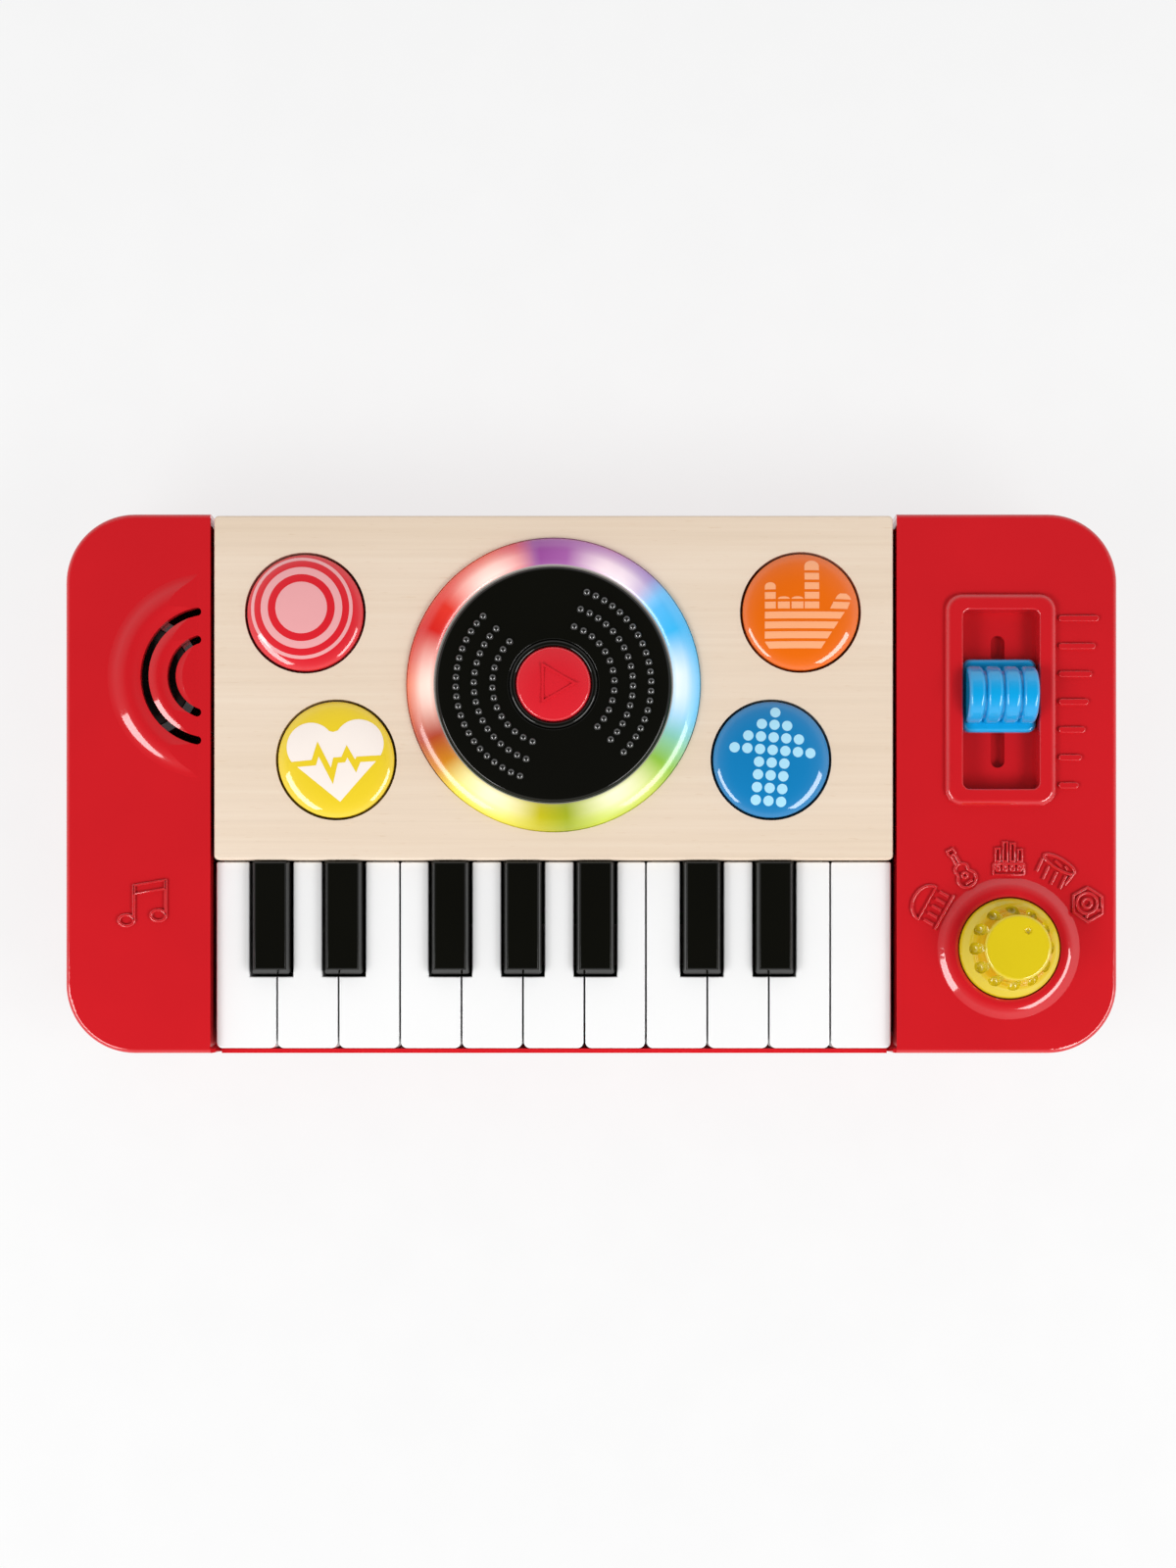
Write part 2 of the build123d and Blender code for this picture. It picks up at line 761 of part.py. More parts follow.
with BuildPart() as key_bed:
    with BuildSketch(Plane.XY.offset(bed_bottom)):
        with Locations((bay_center, bed_middle_y)):
            Rectangle(bed_high - bed_low, bed_depth)
    extrude(amount=bed_thickness)
    # Ridges that carry the two felt strips.
    for felt_y, felt_top in felt_places:
        with BuildSketch(Plane.XY.offset(bed_top)):
            with Locations((bay_center, felt_y)):
                Rectangle(bed_high - bed_low, felt_width)
        extrude(amount=felt_top - felt_thickness - bed_top)
    # Legs down to the floor of the case.
    with BuildSketch(Plane.XY.offset(floor_top)):
        with Locations((bay_center, bed_leg_middle_y)):
            with GridLocations(*bed_leg_spacing, 3, 2):
                Rectangle(bed_leg, bed_leg)
    extrude(amount=bed_bottom - floor_top)
    # Ribs that hold the pivot rod.
    for rib_x in rib_places:
        with BuildSketch(Plane.YZ.offset(rib_x - rib_thickness / 2)):
            with Locations((pivot_y, (bed_top + pivot_height + rib_above_rod) / 2)):
                Rectangle(rib_depth, pivot_height + rib_above_rod - bed_top)
            with Locations((pivot_y, pivot_height)):
                Circle(rod_radius + rod_seat_gap, mode=Mode.SUBTRACT)
        extrude(amount=rib_thickness)
save(key_bed.part, "key_bed")

with BuildPart() as key_pivot_rod:
    rod_low = rib_places[0] - rib_thickness
    rod_high = rib_places[-1] + rib_thickness
    with BuildSketch(Plane.YZ.offset(rod_low)):
        with Locations((pivot_y, pivot_height)):
            Circle(rod_radius)
    extrude(amount=rod_high - rod_low)
save(key_pivot_rod.part, "key_pivot_rod")

with BuildPart() as key_stop_felts:
    for felt_y, felt_top in felt_places:
        with BuildSketch(Plane.XY.offset(felt_top - felt_thickness)):
            with Locations((bay_center, felt_y)):
                Rectangle(bed_high - bed_low - 2.0, felt_width)
        extrude(amount=felt_thickness)
save(key_stop_felts.part, "key_stop_felts")

with BuildPart() as key_board:
    with BuildSketch(Plane.XY.offset(bed_top)):
        with Locations((bay_center, plunger_y)):
            Rectangle(bed_high - bed_low - 4.0, key_board_depth)
    extrude(amount=board_thickness)
save(key_board.part, "key_board")


def rubber_dome(x, y, bottom, height, radius):
    """A hollow rubber dome that closes a contact when it is pressed flat."""
    with BuildPart() as dome:
        with BuildSketch(Plane(origin=(x, y, bottom), x_dir=(1, 0, 0), z_dir=(0, -1, 0))):
            with BuildLine():
                Polyline(
                    (radius - dome_skirt, 0),
                    (radius, 0),
                    (radius, dome_skirt),
                    (radius * 0.55, height * 0.7),
                    (radius * 0.55, height),
                    (0, height),
                    (0, height * 0.55),
                    (radius * 0.45, height * 0.55),
                    (radius - dome_skirt, dome_skirt),
                    close=True,
                )
            make_face()
        revolve(axis=Axis((x, y, 0), (0, 0, 1)))
    return dome.part


key_board_top = bed_top + board_thickness
key_dome_height = plunger_bottom - dome_preload_gap - key_board_top
with BuildPart() as key_dome_strip:
    with BuildSketch(Plane.XY.offset(key_board_top)):
        with Locations((bay_center, plunger_y)):
            Rectangle(bed_high - bed_low - 6.0, dome_strip_depth)
        with Locations(*[(x, plunger_y) for x in lane_centers]):
            Circle(key_dome_radius - dome_skirt + 0.1, mode=Mode.SUBTRACT)
    extrude(amount=dome_strip_thickness)
    for lane in lane_centers:
        add(rubber_dome(lane, plunger_y, key_board_top, key_dome_height, key_dome_radius))
save(key_dome_strip.part, "key_dome_strip")

# --- Mixing deck --------------------------------------------------------------------------
deck_axis = Axis((*deck_center, 0), (0, 0, 1))
deck_section = Plane(origin=(*deck_center, 0), x_dir=(1, 0, 0), z_dir=(0, -1, 0))
ring_middle = (ring_radius + ring_inner_radius) / 2

with BuildPart() as light_ring:
    with BuildSketch(deck_section):
        with BuildLine():
            ThreePointArc(
                (ring_radius, ring_edge),
                (ring_middle + 0.6, ring_crest),
                (ring_inner_radius, ring_edge + 1.2),
            )
            Polyline(
                (ring_inner_radius, ring_edge + 1.2),
                (ring_inner_radius, ring_skirt_bottom),
                (ring_inner_radius + ring_wall, ring_skirt_bottom),
                (ring_inner_radius + ring_wall, ring_edge - 0.6),
                (ring_radius - ring_wall, ring_edge - 1.4),
                (ring_radius - ring_wall, ring_bottom),
                (ring_radius, ring_bottom),
                (ring_radius, ring_edge),
            )
        make_face()
    revolve(axis=deck_axis)
save(light_ring.part, "light_ring")

with BuildPart() as turntable_base:
    with Locations((*deck_center, base_bottom)):
        Cylinder(base_radius, panel_bottom - base_bottom, align=(Align.CENTER, Align.CENTER, Align.MIN))
    with Locations((*deck_center, base_floor_top)):
        Cylinder(
            ring_radius + 0.1,
            panel_bottom,
            align=(Align.CENTER, Align.CENTER, Align.MIN),
            mode=Mode.SUBTRACT,
        )
save(turntable_base.part, "turntable_base")

led_board_top = base_floor_top + board_thickness
with BuildPart() as led_board:
    with Locations((*deck_center, base_floor_top)):
        Cylinder(
            ring_radius - ring_wall - 0.3,
            board_thickness,
            align=(Align.CENTER, Align.CENTER, Align.MIN),
        )
save(led_board.part, "led_board")

with BuildPart() as ring_leds:
    with Locations(Plane((*deck_center, led_board_top))):
        with PolarLocations(ring_middle, led_count, start_angle=-2.0):
            Box(*led_size, align=(Align.CENTER, Align.CENTER, Align.MIN))
save(ring_leds.part, "ring_leds")

with BuildPart() as turntable_post:
    with BuildSketch(deck_section):
        with BuildLine():
            Polyline(
                (post_bore_radius, led_board_top),
                (post_flange_radius, led_board_top),
                (post_flange_radius, led_board_top + post_flange_height),
                (post_radius, led_board_top + post_flange_height),
                (post_radius, collar_bottom),
                (collar_radius, collar_bottom),
                (collar_radius, collar_top - collar_edge_drop),
            )
            ThreePointArc(
                (collar_radius, collar_top - collar_edge_drop),
                ((collar_radius + collar_bore_radius) / 2, collar_top),
                (collar_bore_radius, collar_top - collar_edge_drop),
            )
            Polyline(
                (collar_bore_radius, collar_top - collar_edge_drop),
                (collar_bore_radius, collar_bottom),
                (post_bore_radius, collar_bottom),
                (post_bore_radius, led_board_top),
            )
        make_face()
    revolve(axis=deck_axis)
save(turntable_post.part, "turntable_post")

hub_bore = post_radius + running_gap
hub_bottom = led_board_top + post_flange_height + 0.1
counterbore = collar_radius + 0.3
step_height = collar_bottom - 0.2
with BuildPart() as turntable_disc:
    with BuildSketch(deck_section):
        with BuildLine():
            Polyline(
                (counterbore, step_height),
                (counterbore, disc_top - 0.3),
                (counterbore + 0.3, disc_top),
                (disc_radius - disc_edge_round, disc_top),
            )
            RadiusArc(
                (disc_radius - disc_edge_round, disc_top),
                (disc_radius, disc_top - disc_edge_round),
                disc_edge_round,
            )
            Polyline(
                (disc_radius, disc_top - disc_edge_round),
                (disc_radius, disc_rim_bottom),
                (disc_radius - disc_rim_width, disc_rim_bottom),
                (disc_radius - disc_rim_width, disc_top - disc_thickness),
                (counterbore + 2.0, disc_top - disc_thickness),
                (counterbore + 2.0, hub_bottom),
                (hub_bore, hub_bottom),
                (hub_bore, step_height),
                (counterbore, step_height),
            )
        make_face()
    revolve(axis=deck_axis)
save(turntable_disc.part, "turntable_disc")

play_stem_bottom = led_board_top + play_dome_height + touching_gap
play_shoulder = play_edge - play_edge_round
play_flange_top = collar_bottom - 0.2
with BuildPart() as play_button:
    with BuildSketch(deck_section):
        with BuildLine():
            Spline((play_radius - play_edge_round, play_edge), (0, play_top), tangents=((-1, 0.25), (-1, 0)))
            Polyline(
                (0, play_top),
                (0, play_stem_bottom),
                (play_stem_radius, play_stem_bottom),
                (play_stem_radius, play_roof),
                (play_guide_radius - play_wall, play_roof),
                (play_guide_radius - play_wall, play_guide_bottom),
                (play_guide_radius, play_guide_bottom),
                (play_guide_radius, play_flange_top),
                (play_radius, play_flange_top),
                (play_radius, play_shoulder),
            )
            ThreePointArc(
                (play_radius, play_shoulder),
                (play_radius - 0.3 * play_edge_round, play_edge - 0.3 * play_edge_round),
                (play_radius - play_edge_round, play_edge),
            )
        make_face()
    revolve(axis=deck_axis)
    # Raised outline of a triangle.
    with BuildSketch(Plane((*deck_center, play_edge - 0.5))):
        RegularPolygon(triangle_radii[0], 3)
        RegularPolygon(triangle_radii[1], 3, mode=Mode.SUBTRACT)
    extrude(amount=play_top - play_edge + 0.7)
save(play_button.part, "play_button")


def make_button(center):
    """A domed cap with a flange that the wooden panel holds down, and a stem."""
    stem_bottom = button_board_bottom + board_thickness + dome_height + touching_gap
    inner_radius = button_radius - button_wall
    with BuildPart() as button:
        with BuildSketch(Plane(origin=(*center, 0), x_dir=(1, 0, 0), z_dir=(0, -1, 0))):
            with BuildLine():
                Spline(
                    (0, button_crest),
                    (button_shoulder_radius, button_shoulder),
                    (button_radius, button_edge),
                    tangents=((1, 0), (0.3, -1)),
                )
                Polyline(
                    (button_radius, button_edge),
                    (button_radius, button_flange_top),
                    (button_flange_radius, button_flange_top),
                    (button_flange_radius, button_flange_bottom),
                    (inner_radius, button_flange_bottom),
                    (inner_radius, button_edge - 1.2),
                    (button_stem_radius, button_edge),
                    (button_stem_radius, stem_bottom),
                    (0, stem_bottom),
                    (0, button_crest),
                )
            make_face()
        revolve(axis=Axis((*center, 0), (0, 0, 1)))
    return button.part


for button_name, button_center in buttons.items():
    save(make_button(button_center), button_name)

button_board_top = button_board_bottom + board_thickness
with BuildPart() as button_domes:
    for button_x, button_y in buttons.values():
        add(rubber_dome(button_x, button_y, button_board_top, dome_height, button_dome_radius))
    add(rubber_dome(*deck_center, led_board_top, play_dome_height, play_dome_radius))
save(button_domes.part, "button_domes")


def make_board(area):
    """A circuit board at the height of the button contacts, over a range of x and a range of y."""
    (low_x, high_x), (low_y, high_y) = area
    with BuildPart() as board:
        with BuildSketch(Plane.XY.offset(button_board_bottom)):
            with Locations(((low_x + high_x) / 2, (low_y + high_y) / 2)):
                RectangleRounded(high_x - low_x, high_y - low_y, board_corner)
        extrude(amount=board_thickness)
    return board.part


save(make_board(left_board), "left_button_board")
save(make_board(main_board_area), "main_board")

with BuildPart() as circuit_components:
    # Sound chip, memory, amplifier and two capacitors on the main board.
    with Locations((52.0, 34.0, button_board_top)):
        Box(12.0, 12.0, 1.6, align=(Align.CENTER, Align.CENTER, Align.MIN))
    with Locations((68.0, 36.0, button_board_top)):
        Box(8.0, 5.0, 1.5, align=(Align.CENTER, Align.CENTER, Align.MIN))
    with Locations((47.0, 60.0, button_board_top), (47.0, 52.0, button_board_top)):
        Cylinder(2.5, 6.0, align=(Align.CENTER, Align.CENTER, Align.MIN))
    # Optical sensor that reads the turning disc.
    with Locations((deck_center[0] + 28.0, deck_center[1], led_board_top)):
        Box(4.0, 6.0, 3.5, align=(Align.CENTER, Align.CENTER, Align.MIN))
save(circuit_components.part, "circuit_components")

# --- Speaker --------------------------------------------------------------------------------
speaker_axis = Axis((*speaker_center, 0), (0, 0, 1))
speaker_section = Plane(origin=(*speaker_center, 0), x_dir=(1, 0, 0), z_dir=(0, -1, 0))
with BuildPart() as speaker_frame:
    with BuildSketch(speaker_section):
        with BuildLine():
            Polyline(
                (17.0, speaker_top),
                (speaker_radius, speaker_top),
                (speaker_radius, speaker_top - 2.0),
                (17.6, speaker_top - 2.0),
                (11.0, 34.0),
                (4.5, 34.0),
                (4.5, 35.0),
                (10.4, 35.0),
                (17.0, speaker_top - 1.6),
                close=True,
            )
        make_face()
    revolve(axis=speaker_axis)
save(speaker_frame.part, "speaker_frame")

with BuildPart() as speaker_cone:
    with BuildSketch(speaker_section):
        with BuildLine():
            Polyline((16.6, speaker_top - 0.4), (16.6, speaker_top - 1.0), (15.0, speaker_top - 1.0))
            ThreePointArc((15.0, speaker_top - 1.0), (13.6, speaker_top - 2.0), (13.0, speaker_top - 3.0))
            Polyline(
                (13.0, speaker_top - 3.0),
                (6.0, 38.0),
                (0, 39.6),
                (0, 40.1),
                (6.4, 38.6),
                (12.6, speaker_top - 2.0),
            )
            ThreePointArc((12.6, speaker_top - 2.0), (14.0, speaker_top - 0.6), (15.4, speaker_top - 0.4))
            Line((15.4, speaker_top - 0.4), (16.6, speaker_top - 0.4))
        make_face()
    revolve(axis=speaker_axis)
save(speaker_cone.part, "speaker_cone")

with BuildPart() as speaker_magnet:
    with Locations((*speaker_center, 27.0)):
        Cylinder(10.0, 7.0, align=(Align.CENTER, Align.CENTER, Align.MIN))
    fillet(speaker_magnet.edges().sort_by(Axis.Z)[0], 0.8)
save(speaker_magnet.part, "speaker_magnet")

# --- Slider -----------------------------------------------------------------------------------
handle_y = slider_y + handle_rest_offset
handle_bottom = recess_floor + 0.15
grip_bottom = handle_base_top - 0.4
neck_bottom = shutter_top + touching_gap


def grip_slab(x, width, inset, rounding):
    """A slice of the barrel-shaped grip, seen from its end as an arch over the handle's base."""
    foot = grip_foot - inset
    crest = grip_top - inset
    with BuildPart() as slab:
        with BuildSketch(Plane.YZ.offset(x - width / 2)):
            with BuildLine():
                Line((handle_y - foot, grip_bottom), (handle_y + foot, grip_bottom))
                ThreePointArc(
                    (handle_y + foot, grip_bottom),
                    (handle_y, crest),
                    (handle_y - foot, grip_bottom),
                )
            make_face()
        extrude(amount=width)
        if rounding > 0:
            fillet(slab.edges().filter_by(GeomType.CIRCLE), rounding)
    return slab.part


with BuildPart() as slider_handle:
    with BuildSketch(Plane.XY.offset(handle_bottom)):
        with Locations((slider_x, handle_y)):
            RectangleRounded(*handle_size, handle_base_corner)
    extrude(amount=handle_base_top - handle_bottom)
    fillet(slider_handle.faces().sort_by(Axis.Z)[-1].edges(), 1.5)
    # A core, and rounded ridges over it that run front to back.
    add(grip_slab(slider_x, grip_core_length, groove_depth, 0.0))
    for ridge in range(ridge_count):
        ridge_x = slider_x + (ridge - (ridge_count - 1) / 2) * ridge_pitch
        add(grip_slab(ridge_x, ridge_width, 0.0, ridge_round))
    # Neck that passes through the slot in the track, with a socket for the lever.
    with BuildSketch(Plane.XY.offset(neck_bottom)):
        with Locations((slider_x, handle_y)):
            RectangleRounded(*neck_size, neck_corner)
    extrude(amount=handle_bottom + 1.0 - neck_bottom)
    with BuildSketch(Plane.XY.offset(neck_bottom)):
        with Locations((slider_x, handle_y)):
            Rectangle(*lever_size)
    extrude(amount=lever_top - neck_bottom, mode=Mode.SUBTRACT)
save(slider_handle.part, "slider_handle")

with BuildPart() as slider_lever:
    with BuildSketch(Plane.XY.offset(lever_bottom)):
        with Locations((slider_x, handle_y)):
            Rectangle(*lever_size)
    extrude(amount=lever_top - lever_bottom)
    with BuildSketch(Plane.XY.offset(lever_bottom - lever_foot_height)):
        with Locations((slider_x, handle_y)):
            Rectangle(*lever_foot)
    extrude(amount=lever_foot_height)
    # Dust shutter that closes the slot from below wherever the handle stands.
    with BuildSketch(Plane.XY.offset(shutter_top - shutter_thickness)):
        with Locations((slider_x, handle_y)):
            RectangleRounded(*shutter_size, neck_corner)
    extrude(amount=shutter_thickness)
save(slider_lever.part, "slider_lever")

with BuildPart() as slide_potentiometer:
    with BuildSketch(Plane.XY.offset(pot_bottom)):
        with Locations((slider_x, slider_y)):
            Rectangle(*pot_size)
    extrude(amount=pot_top - pot_bottom)
    # End flanges under the posts of the cover.
    with BuildSketch(Plane.XY.offset(pot_top - pot_flange_thickness)):
        with Locations((slider_x, slider_y)):
            with GridLocations(0.0, 2 * pot_post_reach[1], 1, 2):
                Rectangle(2 * (pot_post_reach[0] + pot_post_radius), 2 * pot_post_radius)
    extrude(amount=pot_flange_thickness)
    with BuildSketch(Plane.XY.offset(pot_cavity_bottom)):
        with Locations((slider_x, slider_y)):
            Rectangle(*pot_cavity)
    extrude(amount=pot_cavity_height, mode=Mode.SUBTRACT)
    with BuildSketch(Plane.XY.offset(pot_cavity_bottom + pot_cavity_height - 1.0)):
        with Locations((slider_x, slider_y)):
            Rectangle(*pot_slit)
    extrude(amount=pot_top - pot_cavity_bottom, mode=Mode.SUBTRACT)
save(slide_potentiometer.part, "slide_potentiometer")

# --- Selector knob ------------------------------------------------------------------------------
knob_axis = Axis((*knob_center, 0), (0, 0, 1))
with BuildPart() as selector_knob:
    with BuildSketch(Plane(origin=(*knob_center, 0), x_dir=(1, 0, 0), z_dir=(0, -1, 0))):
        with BuildLine():
            Polyline((0, knob_bottom), (knob_radius, knob_bottom), (knob_radius, knob_bottom + 2.6))
            Spline(
                (knob_radius, knob_bottom + 2.6),
                (14.9, knob_bottom + 5.2),
                (12.6, knob_bottom + 8.2),
                (11.4, knob_bottom + 12.4),
                (knob_face_radius + 1.2, knob_top - 1.2),
                tangents=((0, 1), (-0.12, 1)),
            )
            ThreePointArc(
                (knob_face_radius + 1.2, knob_top - 1.2),
                (knob_face_radius + 0.85, knob_top - 0.35),
                (knob_face_radius, knob_top),
            )
            Polyline((knob_face_radius, knob_top), (0, knob_top), (0, knob_bottom))
        make_face()
    revolve(axis=knob_axis)
    with Locations(Plane((*knob_center, notch_bottom))):
        with PolarLocations(notch_middle_radius, grip_notches, start_angle=pointer_angle):
            Cylinder(
                notch_radius,
                knob_top - notch_bottom + 1.0,
                align=(Align.CENTER, Align.CENTER, Align.MIN),
                mode=Mode.SUBTRACT,
            )
            Sphere(notch_radius, mode=Mode.SUBTRACT)
    with Locations(Plane((*knob_center, knob_top + dimple_lift))):
        with PolarLocations(dimple_distance, 1, start_angle=pointer_angle):
            Sphere(dimple_radius, mode=Mode.SUBTRACT)
    with Locations((*knob_center, knob_bottom)):
        Cylinder(
            knob_shaft_radius,
            knob_socket_depth,
            align=(Align.CENTER, Align.CENTER, Align.MIN),
            mode=Mode.SUBTRACT,
        )
save(selector_knob.part, "selector_knob")

with BuildPart() as knob_shaft:
    with Locations((*knob_center, knob_shaft_bottom)):
        Cylinder(knob_shaft_radius, knob_shaft_length, align=(Align.CENTER, Align.CENTER, Align.MIN))
save(knob_shaft.part, "knob_shaft")

with BuildPart() as rotary_switch:
    with Locations((*knob_center, rotary_bottom)):
        Box(
            rotary_side,
            rotary_side,
            knob_well_floor - wall - rotary_bottom,
            align=(Align.CENTER, Align.CENTER, Align.MIN),
        )
    with Locations((*knob_center, knob_shaft_bottom - 1.0)):
        Cylinder(
            knob_shaft_radius + running_gap,
            10.0,
            align=(Align.CENTER, Align.CENTER, Align.MIN),
            mode=Mode.SUBTRACT,
        )
save(rotary_switch.part, "rotary_switch")

# --- Batteries, door, power switch, feet, wires and screws ------------------------------------------
with BuildPart() as battery_cells:
    for cell_index in range(3):
        cell_x = battery_center[0] + (cell_index - 1) * cell_pitch
        nub_side = 1 if cell_index % 2 else -1
        with BuildSketch(Plane.XZ.offset(-battery_center[1] - cell_length / 2)):
            with Locations((cell_x, cell_height)):
                Circle(cell_radius)
        extrude(amount=cell_length)
        nub_start = battery_center[1] + nub_side * cell_length / 2
        with BuildSketch(Plane.XZ.offset(-nub_start)):
            with Locations((cell_x, cell_height)):
                Circle(cell_nub[0])
        extrude(amount=-nub_side * cell_nub[1])
save(battery_cells.part, "battery_cells")

with BuildPart() as battery_contacts:
    for end in (-1, 1):
        plate_y = battery_center[1] + end * (bay_cavity[1] / 2 - 0.3)
        with Locations((battery_center[0], plate_y, cell_height)):
            Box(*contact_plate)
    for cell_index in range(3):
        cell_x = battery_center[0] + (cell_index - 1) * cell_pitch
        end = -1 if cell_index % 2 else 1
        spring_y = battery_center[1] + end * (cell_length / 2 + bay_cavity[1] / 2 - 0.5) / 2
        with Locations(Location((cell_x, spring_y, cell_height), (90, 0, 0))):
            Cone(*spring_radii[::-end], spring_length)
save(battery_contacts.part, "battery_contacts")

with BuildPart() as battery_door:
    with BuildSketch(Plane.XY.offset(case_bottom)):
        with Locations(battery_center):
            RectangleRounded(*door_size, 1.0)
        with Locations((door_screw[0], door_screw[1] - 0.5)):
            Rectangle(tab_size[0], tab_size[1] + 1.0)
    extrude(amount=door_thickness)
    with Locations((*door_screw, case_bottom)):
        Cylinder(
            screw_bite_radius,
            door_thickness,
            align=(Align.CENTER, Align.CENTER, Align.MIN),
            mode=Mode.SUBTRACT,
        )
        Cylinder(
            screw_pocket_radius,
            door_screw_head_height + 0.1,
            align=(Align.CENTER, Align.CENTER, Align.MIN),
            mode=Mode.SUBTRACT,
        )
    # Grip ribs across the free end of the door.
    with BuildSketch(Plane.XY.offset(case_bottom)):
        with Locations((battery_center[0], battery_center[1] - door_rib_offset)):
            with GridLocations(0.0, door_rib_pitch, 1, door_rib_count):
                SlotOverall(*door_rib_size)
    extrude(amount=door_rib_depth, mode=Mode.SUBTRACT)
save(battery_door.part, "battery_door")


def make_screw(x, y, head_bottom, length):
    """A pan-head screw driven upwards, with a cross slot in its head."""
    with BuildPart() as screw:
        with Locations((x, y, head_bottom)):
            Cylinder(screw_head_radius, screw_head_height, align=(Align.CENTER, Align.CENTER, Align.MIN))
        chamfer(screw.edges().sort_by(Axis.Z)[0], 0.5)
        with BuildSketch(Plane.XY.offset(head_bottom)):
            with Locations((x, y)):
                Rectangle(*screw_cross)
                Rectangle(*screw_cross[::-1])
        extrude(amount=screw_cross_depth, mode=Mode.SUBTRACT)
        with Locations((x, y, head_bottom + screw_head_height)):
            Cylinder(screw_radius, length, align=(Align.CENTER, Align.CENTER, Align.MIN))
    return screw.part


with BuildPart() as case_screws:
    head_room = screw_head_height + screw_head_gap
    for screw_x, screw_y in panel_screws:
        add(make_screw(screw_x, screw_y, panel_screw_seat - head_room, panel_screw_length))
    for screw_x, screw_y in cover_screws:
        add(make_screw(screw_x, screw_y, cover_screw_seat - head_room, cover_screw_length))
save(case_screws.part, "case_screws")

with BuildPart() as battery_door_screw:
    door_head_bottom = case_bottom + touching_gap
    with Locations((*door_screw, door_head_bottom)):
        Cylinder(screw_head_radius, door_screw_head_height, align=(Align.CENTER, Align.CENTER, Align.MIN))
    with BuildSketch(Plane.XY.offset(door_head_bottom)):
        with Locations(door_screw):
            Rectangle(*screw_cross)
            Rectangle(*screw_cross[::-1])
    extrude(amount=door_screw_head_height / 2, mode=Mode.SUBTRACT)
    with Locations((*door_screw, door_head_bottom + door_screw_head_height)):
        Cylinder(
            door_screw_radius,
            door_screw_length - touching_gap,
            align=(Align.CENTER, Align.CENTER, Align.MIN),
        )
save(battery_door_screw.part, "battery_door_screw")

with BuildPart() as rubber_feet:
    with Locations(*[(x, y, 0) for x, y in feet]):
        Cylinder(foot_radius, foot_height, align=(Align.CENTER, Align.CENTER, Align.MIN))
    fillet(rubber_feet.edges().filter_by(lambda edge: edge.center().Z < 0.01), foot_edge_round)
save(rubber_feet.part, "rubber_feet")

switch_knob_center = (switch_center[0] - switch_travel / 2, switch_center[1])
switch_plate_bottom = floor_top + switch_gap
switch_plate_top = switch_plate_bottom + switch_plate[2]
with BuildPart() as power_switch_knob:
    with BuildSketch(Plane.XY.offset(switch_knob_bottom)):
        with Locations(switch_knob_center):
            SlotOverall(*switch_knob_size)
    extrude(amount=switch_plate_top - switch_knob_bottom)
    with BuildSketch(Plane.XY.offset(switch_plate_bottom)):
        with Locations(switch_knob_center):
            Rectangle(*switch_plate[:2])
    extrude(amount=switch_plate[2])
    with BuildSketch(Plane.XY.offset(switch_plate_top)):
        with Locations(switch_knob_center):
            Rectangle(*switch_tongue[:2])
    extrude(amount=switch_tongue[2])
save(power_switch_knob.part, "power_switch_knob")

with BuildPart() as power_switch:
    with Locations((*switch_center, switch_plate_top + 2 * switch_gap)):
        Box(*switch_body, align=(Align.CENTER, Align.CENTER, Align.MIN))
    with Locations((*switch_center, floor_top)):
        Box(
            2 * switch_travel + switch_tongue[0],
            switch_tongue[1] + 1.0,
            switch_plate_top + switch_tongue[2] + 0.8 - floor_top,
            align=(Align.CENTER, Align.CENTER, Align.MIN),
            mode=Mode.SUBTRACT,
        )
save(power_switch.part, "power_switch")


def make_wire(points):
    """A round wire along straight runs joined by arcs."""
    with BuildPart() as wire:
        with BuildLine() as route:
            FilletPolyline(*points, radius=wire_bend)
        with BuildSketch(Plane(origin=route.line @ 0, z_dir=route.line % 0)):
            Circle(wire_radius)
        sweep()
    return wire.part


def wire_run(start, end, height):
    """Points of a wire that drops from one terminal, crosses at a low height and rises to the other."""
    middle = ((start[0] + end[0]) / 2, (start[1] + end[1]) / 2 + 3.0, height)
    return (start, (start[0], start[1], height), middle, (end[0], end[1], height), end)


with BuildPart() as internal_wires:
    for shift in (0.0, 2.6):
        # Speaker to the left button board, passing under the wall of the cover.
        speaker_terminal = (-140.0 + shift, 12.0 + shift, 30.0)
        board_terminal = (-98.0 + shift, 18.0 + shift, button_board_bottom - 0.1)
        add(make_wire(wire_run(speaker_terminal, board_terminal, 12.0 + shift)))
        # Battery bay to the main board.
        battery_terminal = (battery_center[0] + 28.6, 12.0 + 4.0 * shift, 8.0)
        power_terminal = (50.0, battery_terminal[1], button_board_bottom - 0.1)
        add(make_wire((battery_terminal, (50.0, battery_terminal[1], 8.0), power_terminal)))
save(internal_wires.part, "internal_wires")
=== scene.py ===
import json
import math

import bmesh
import bpy
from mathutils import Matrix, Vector
from mathutils.geometry import tessellate_polygon


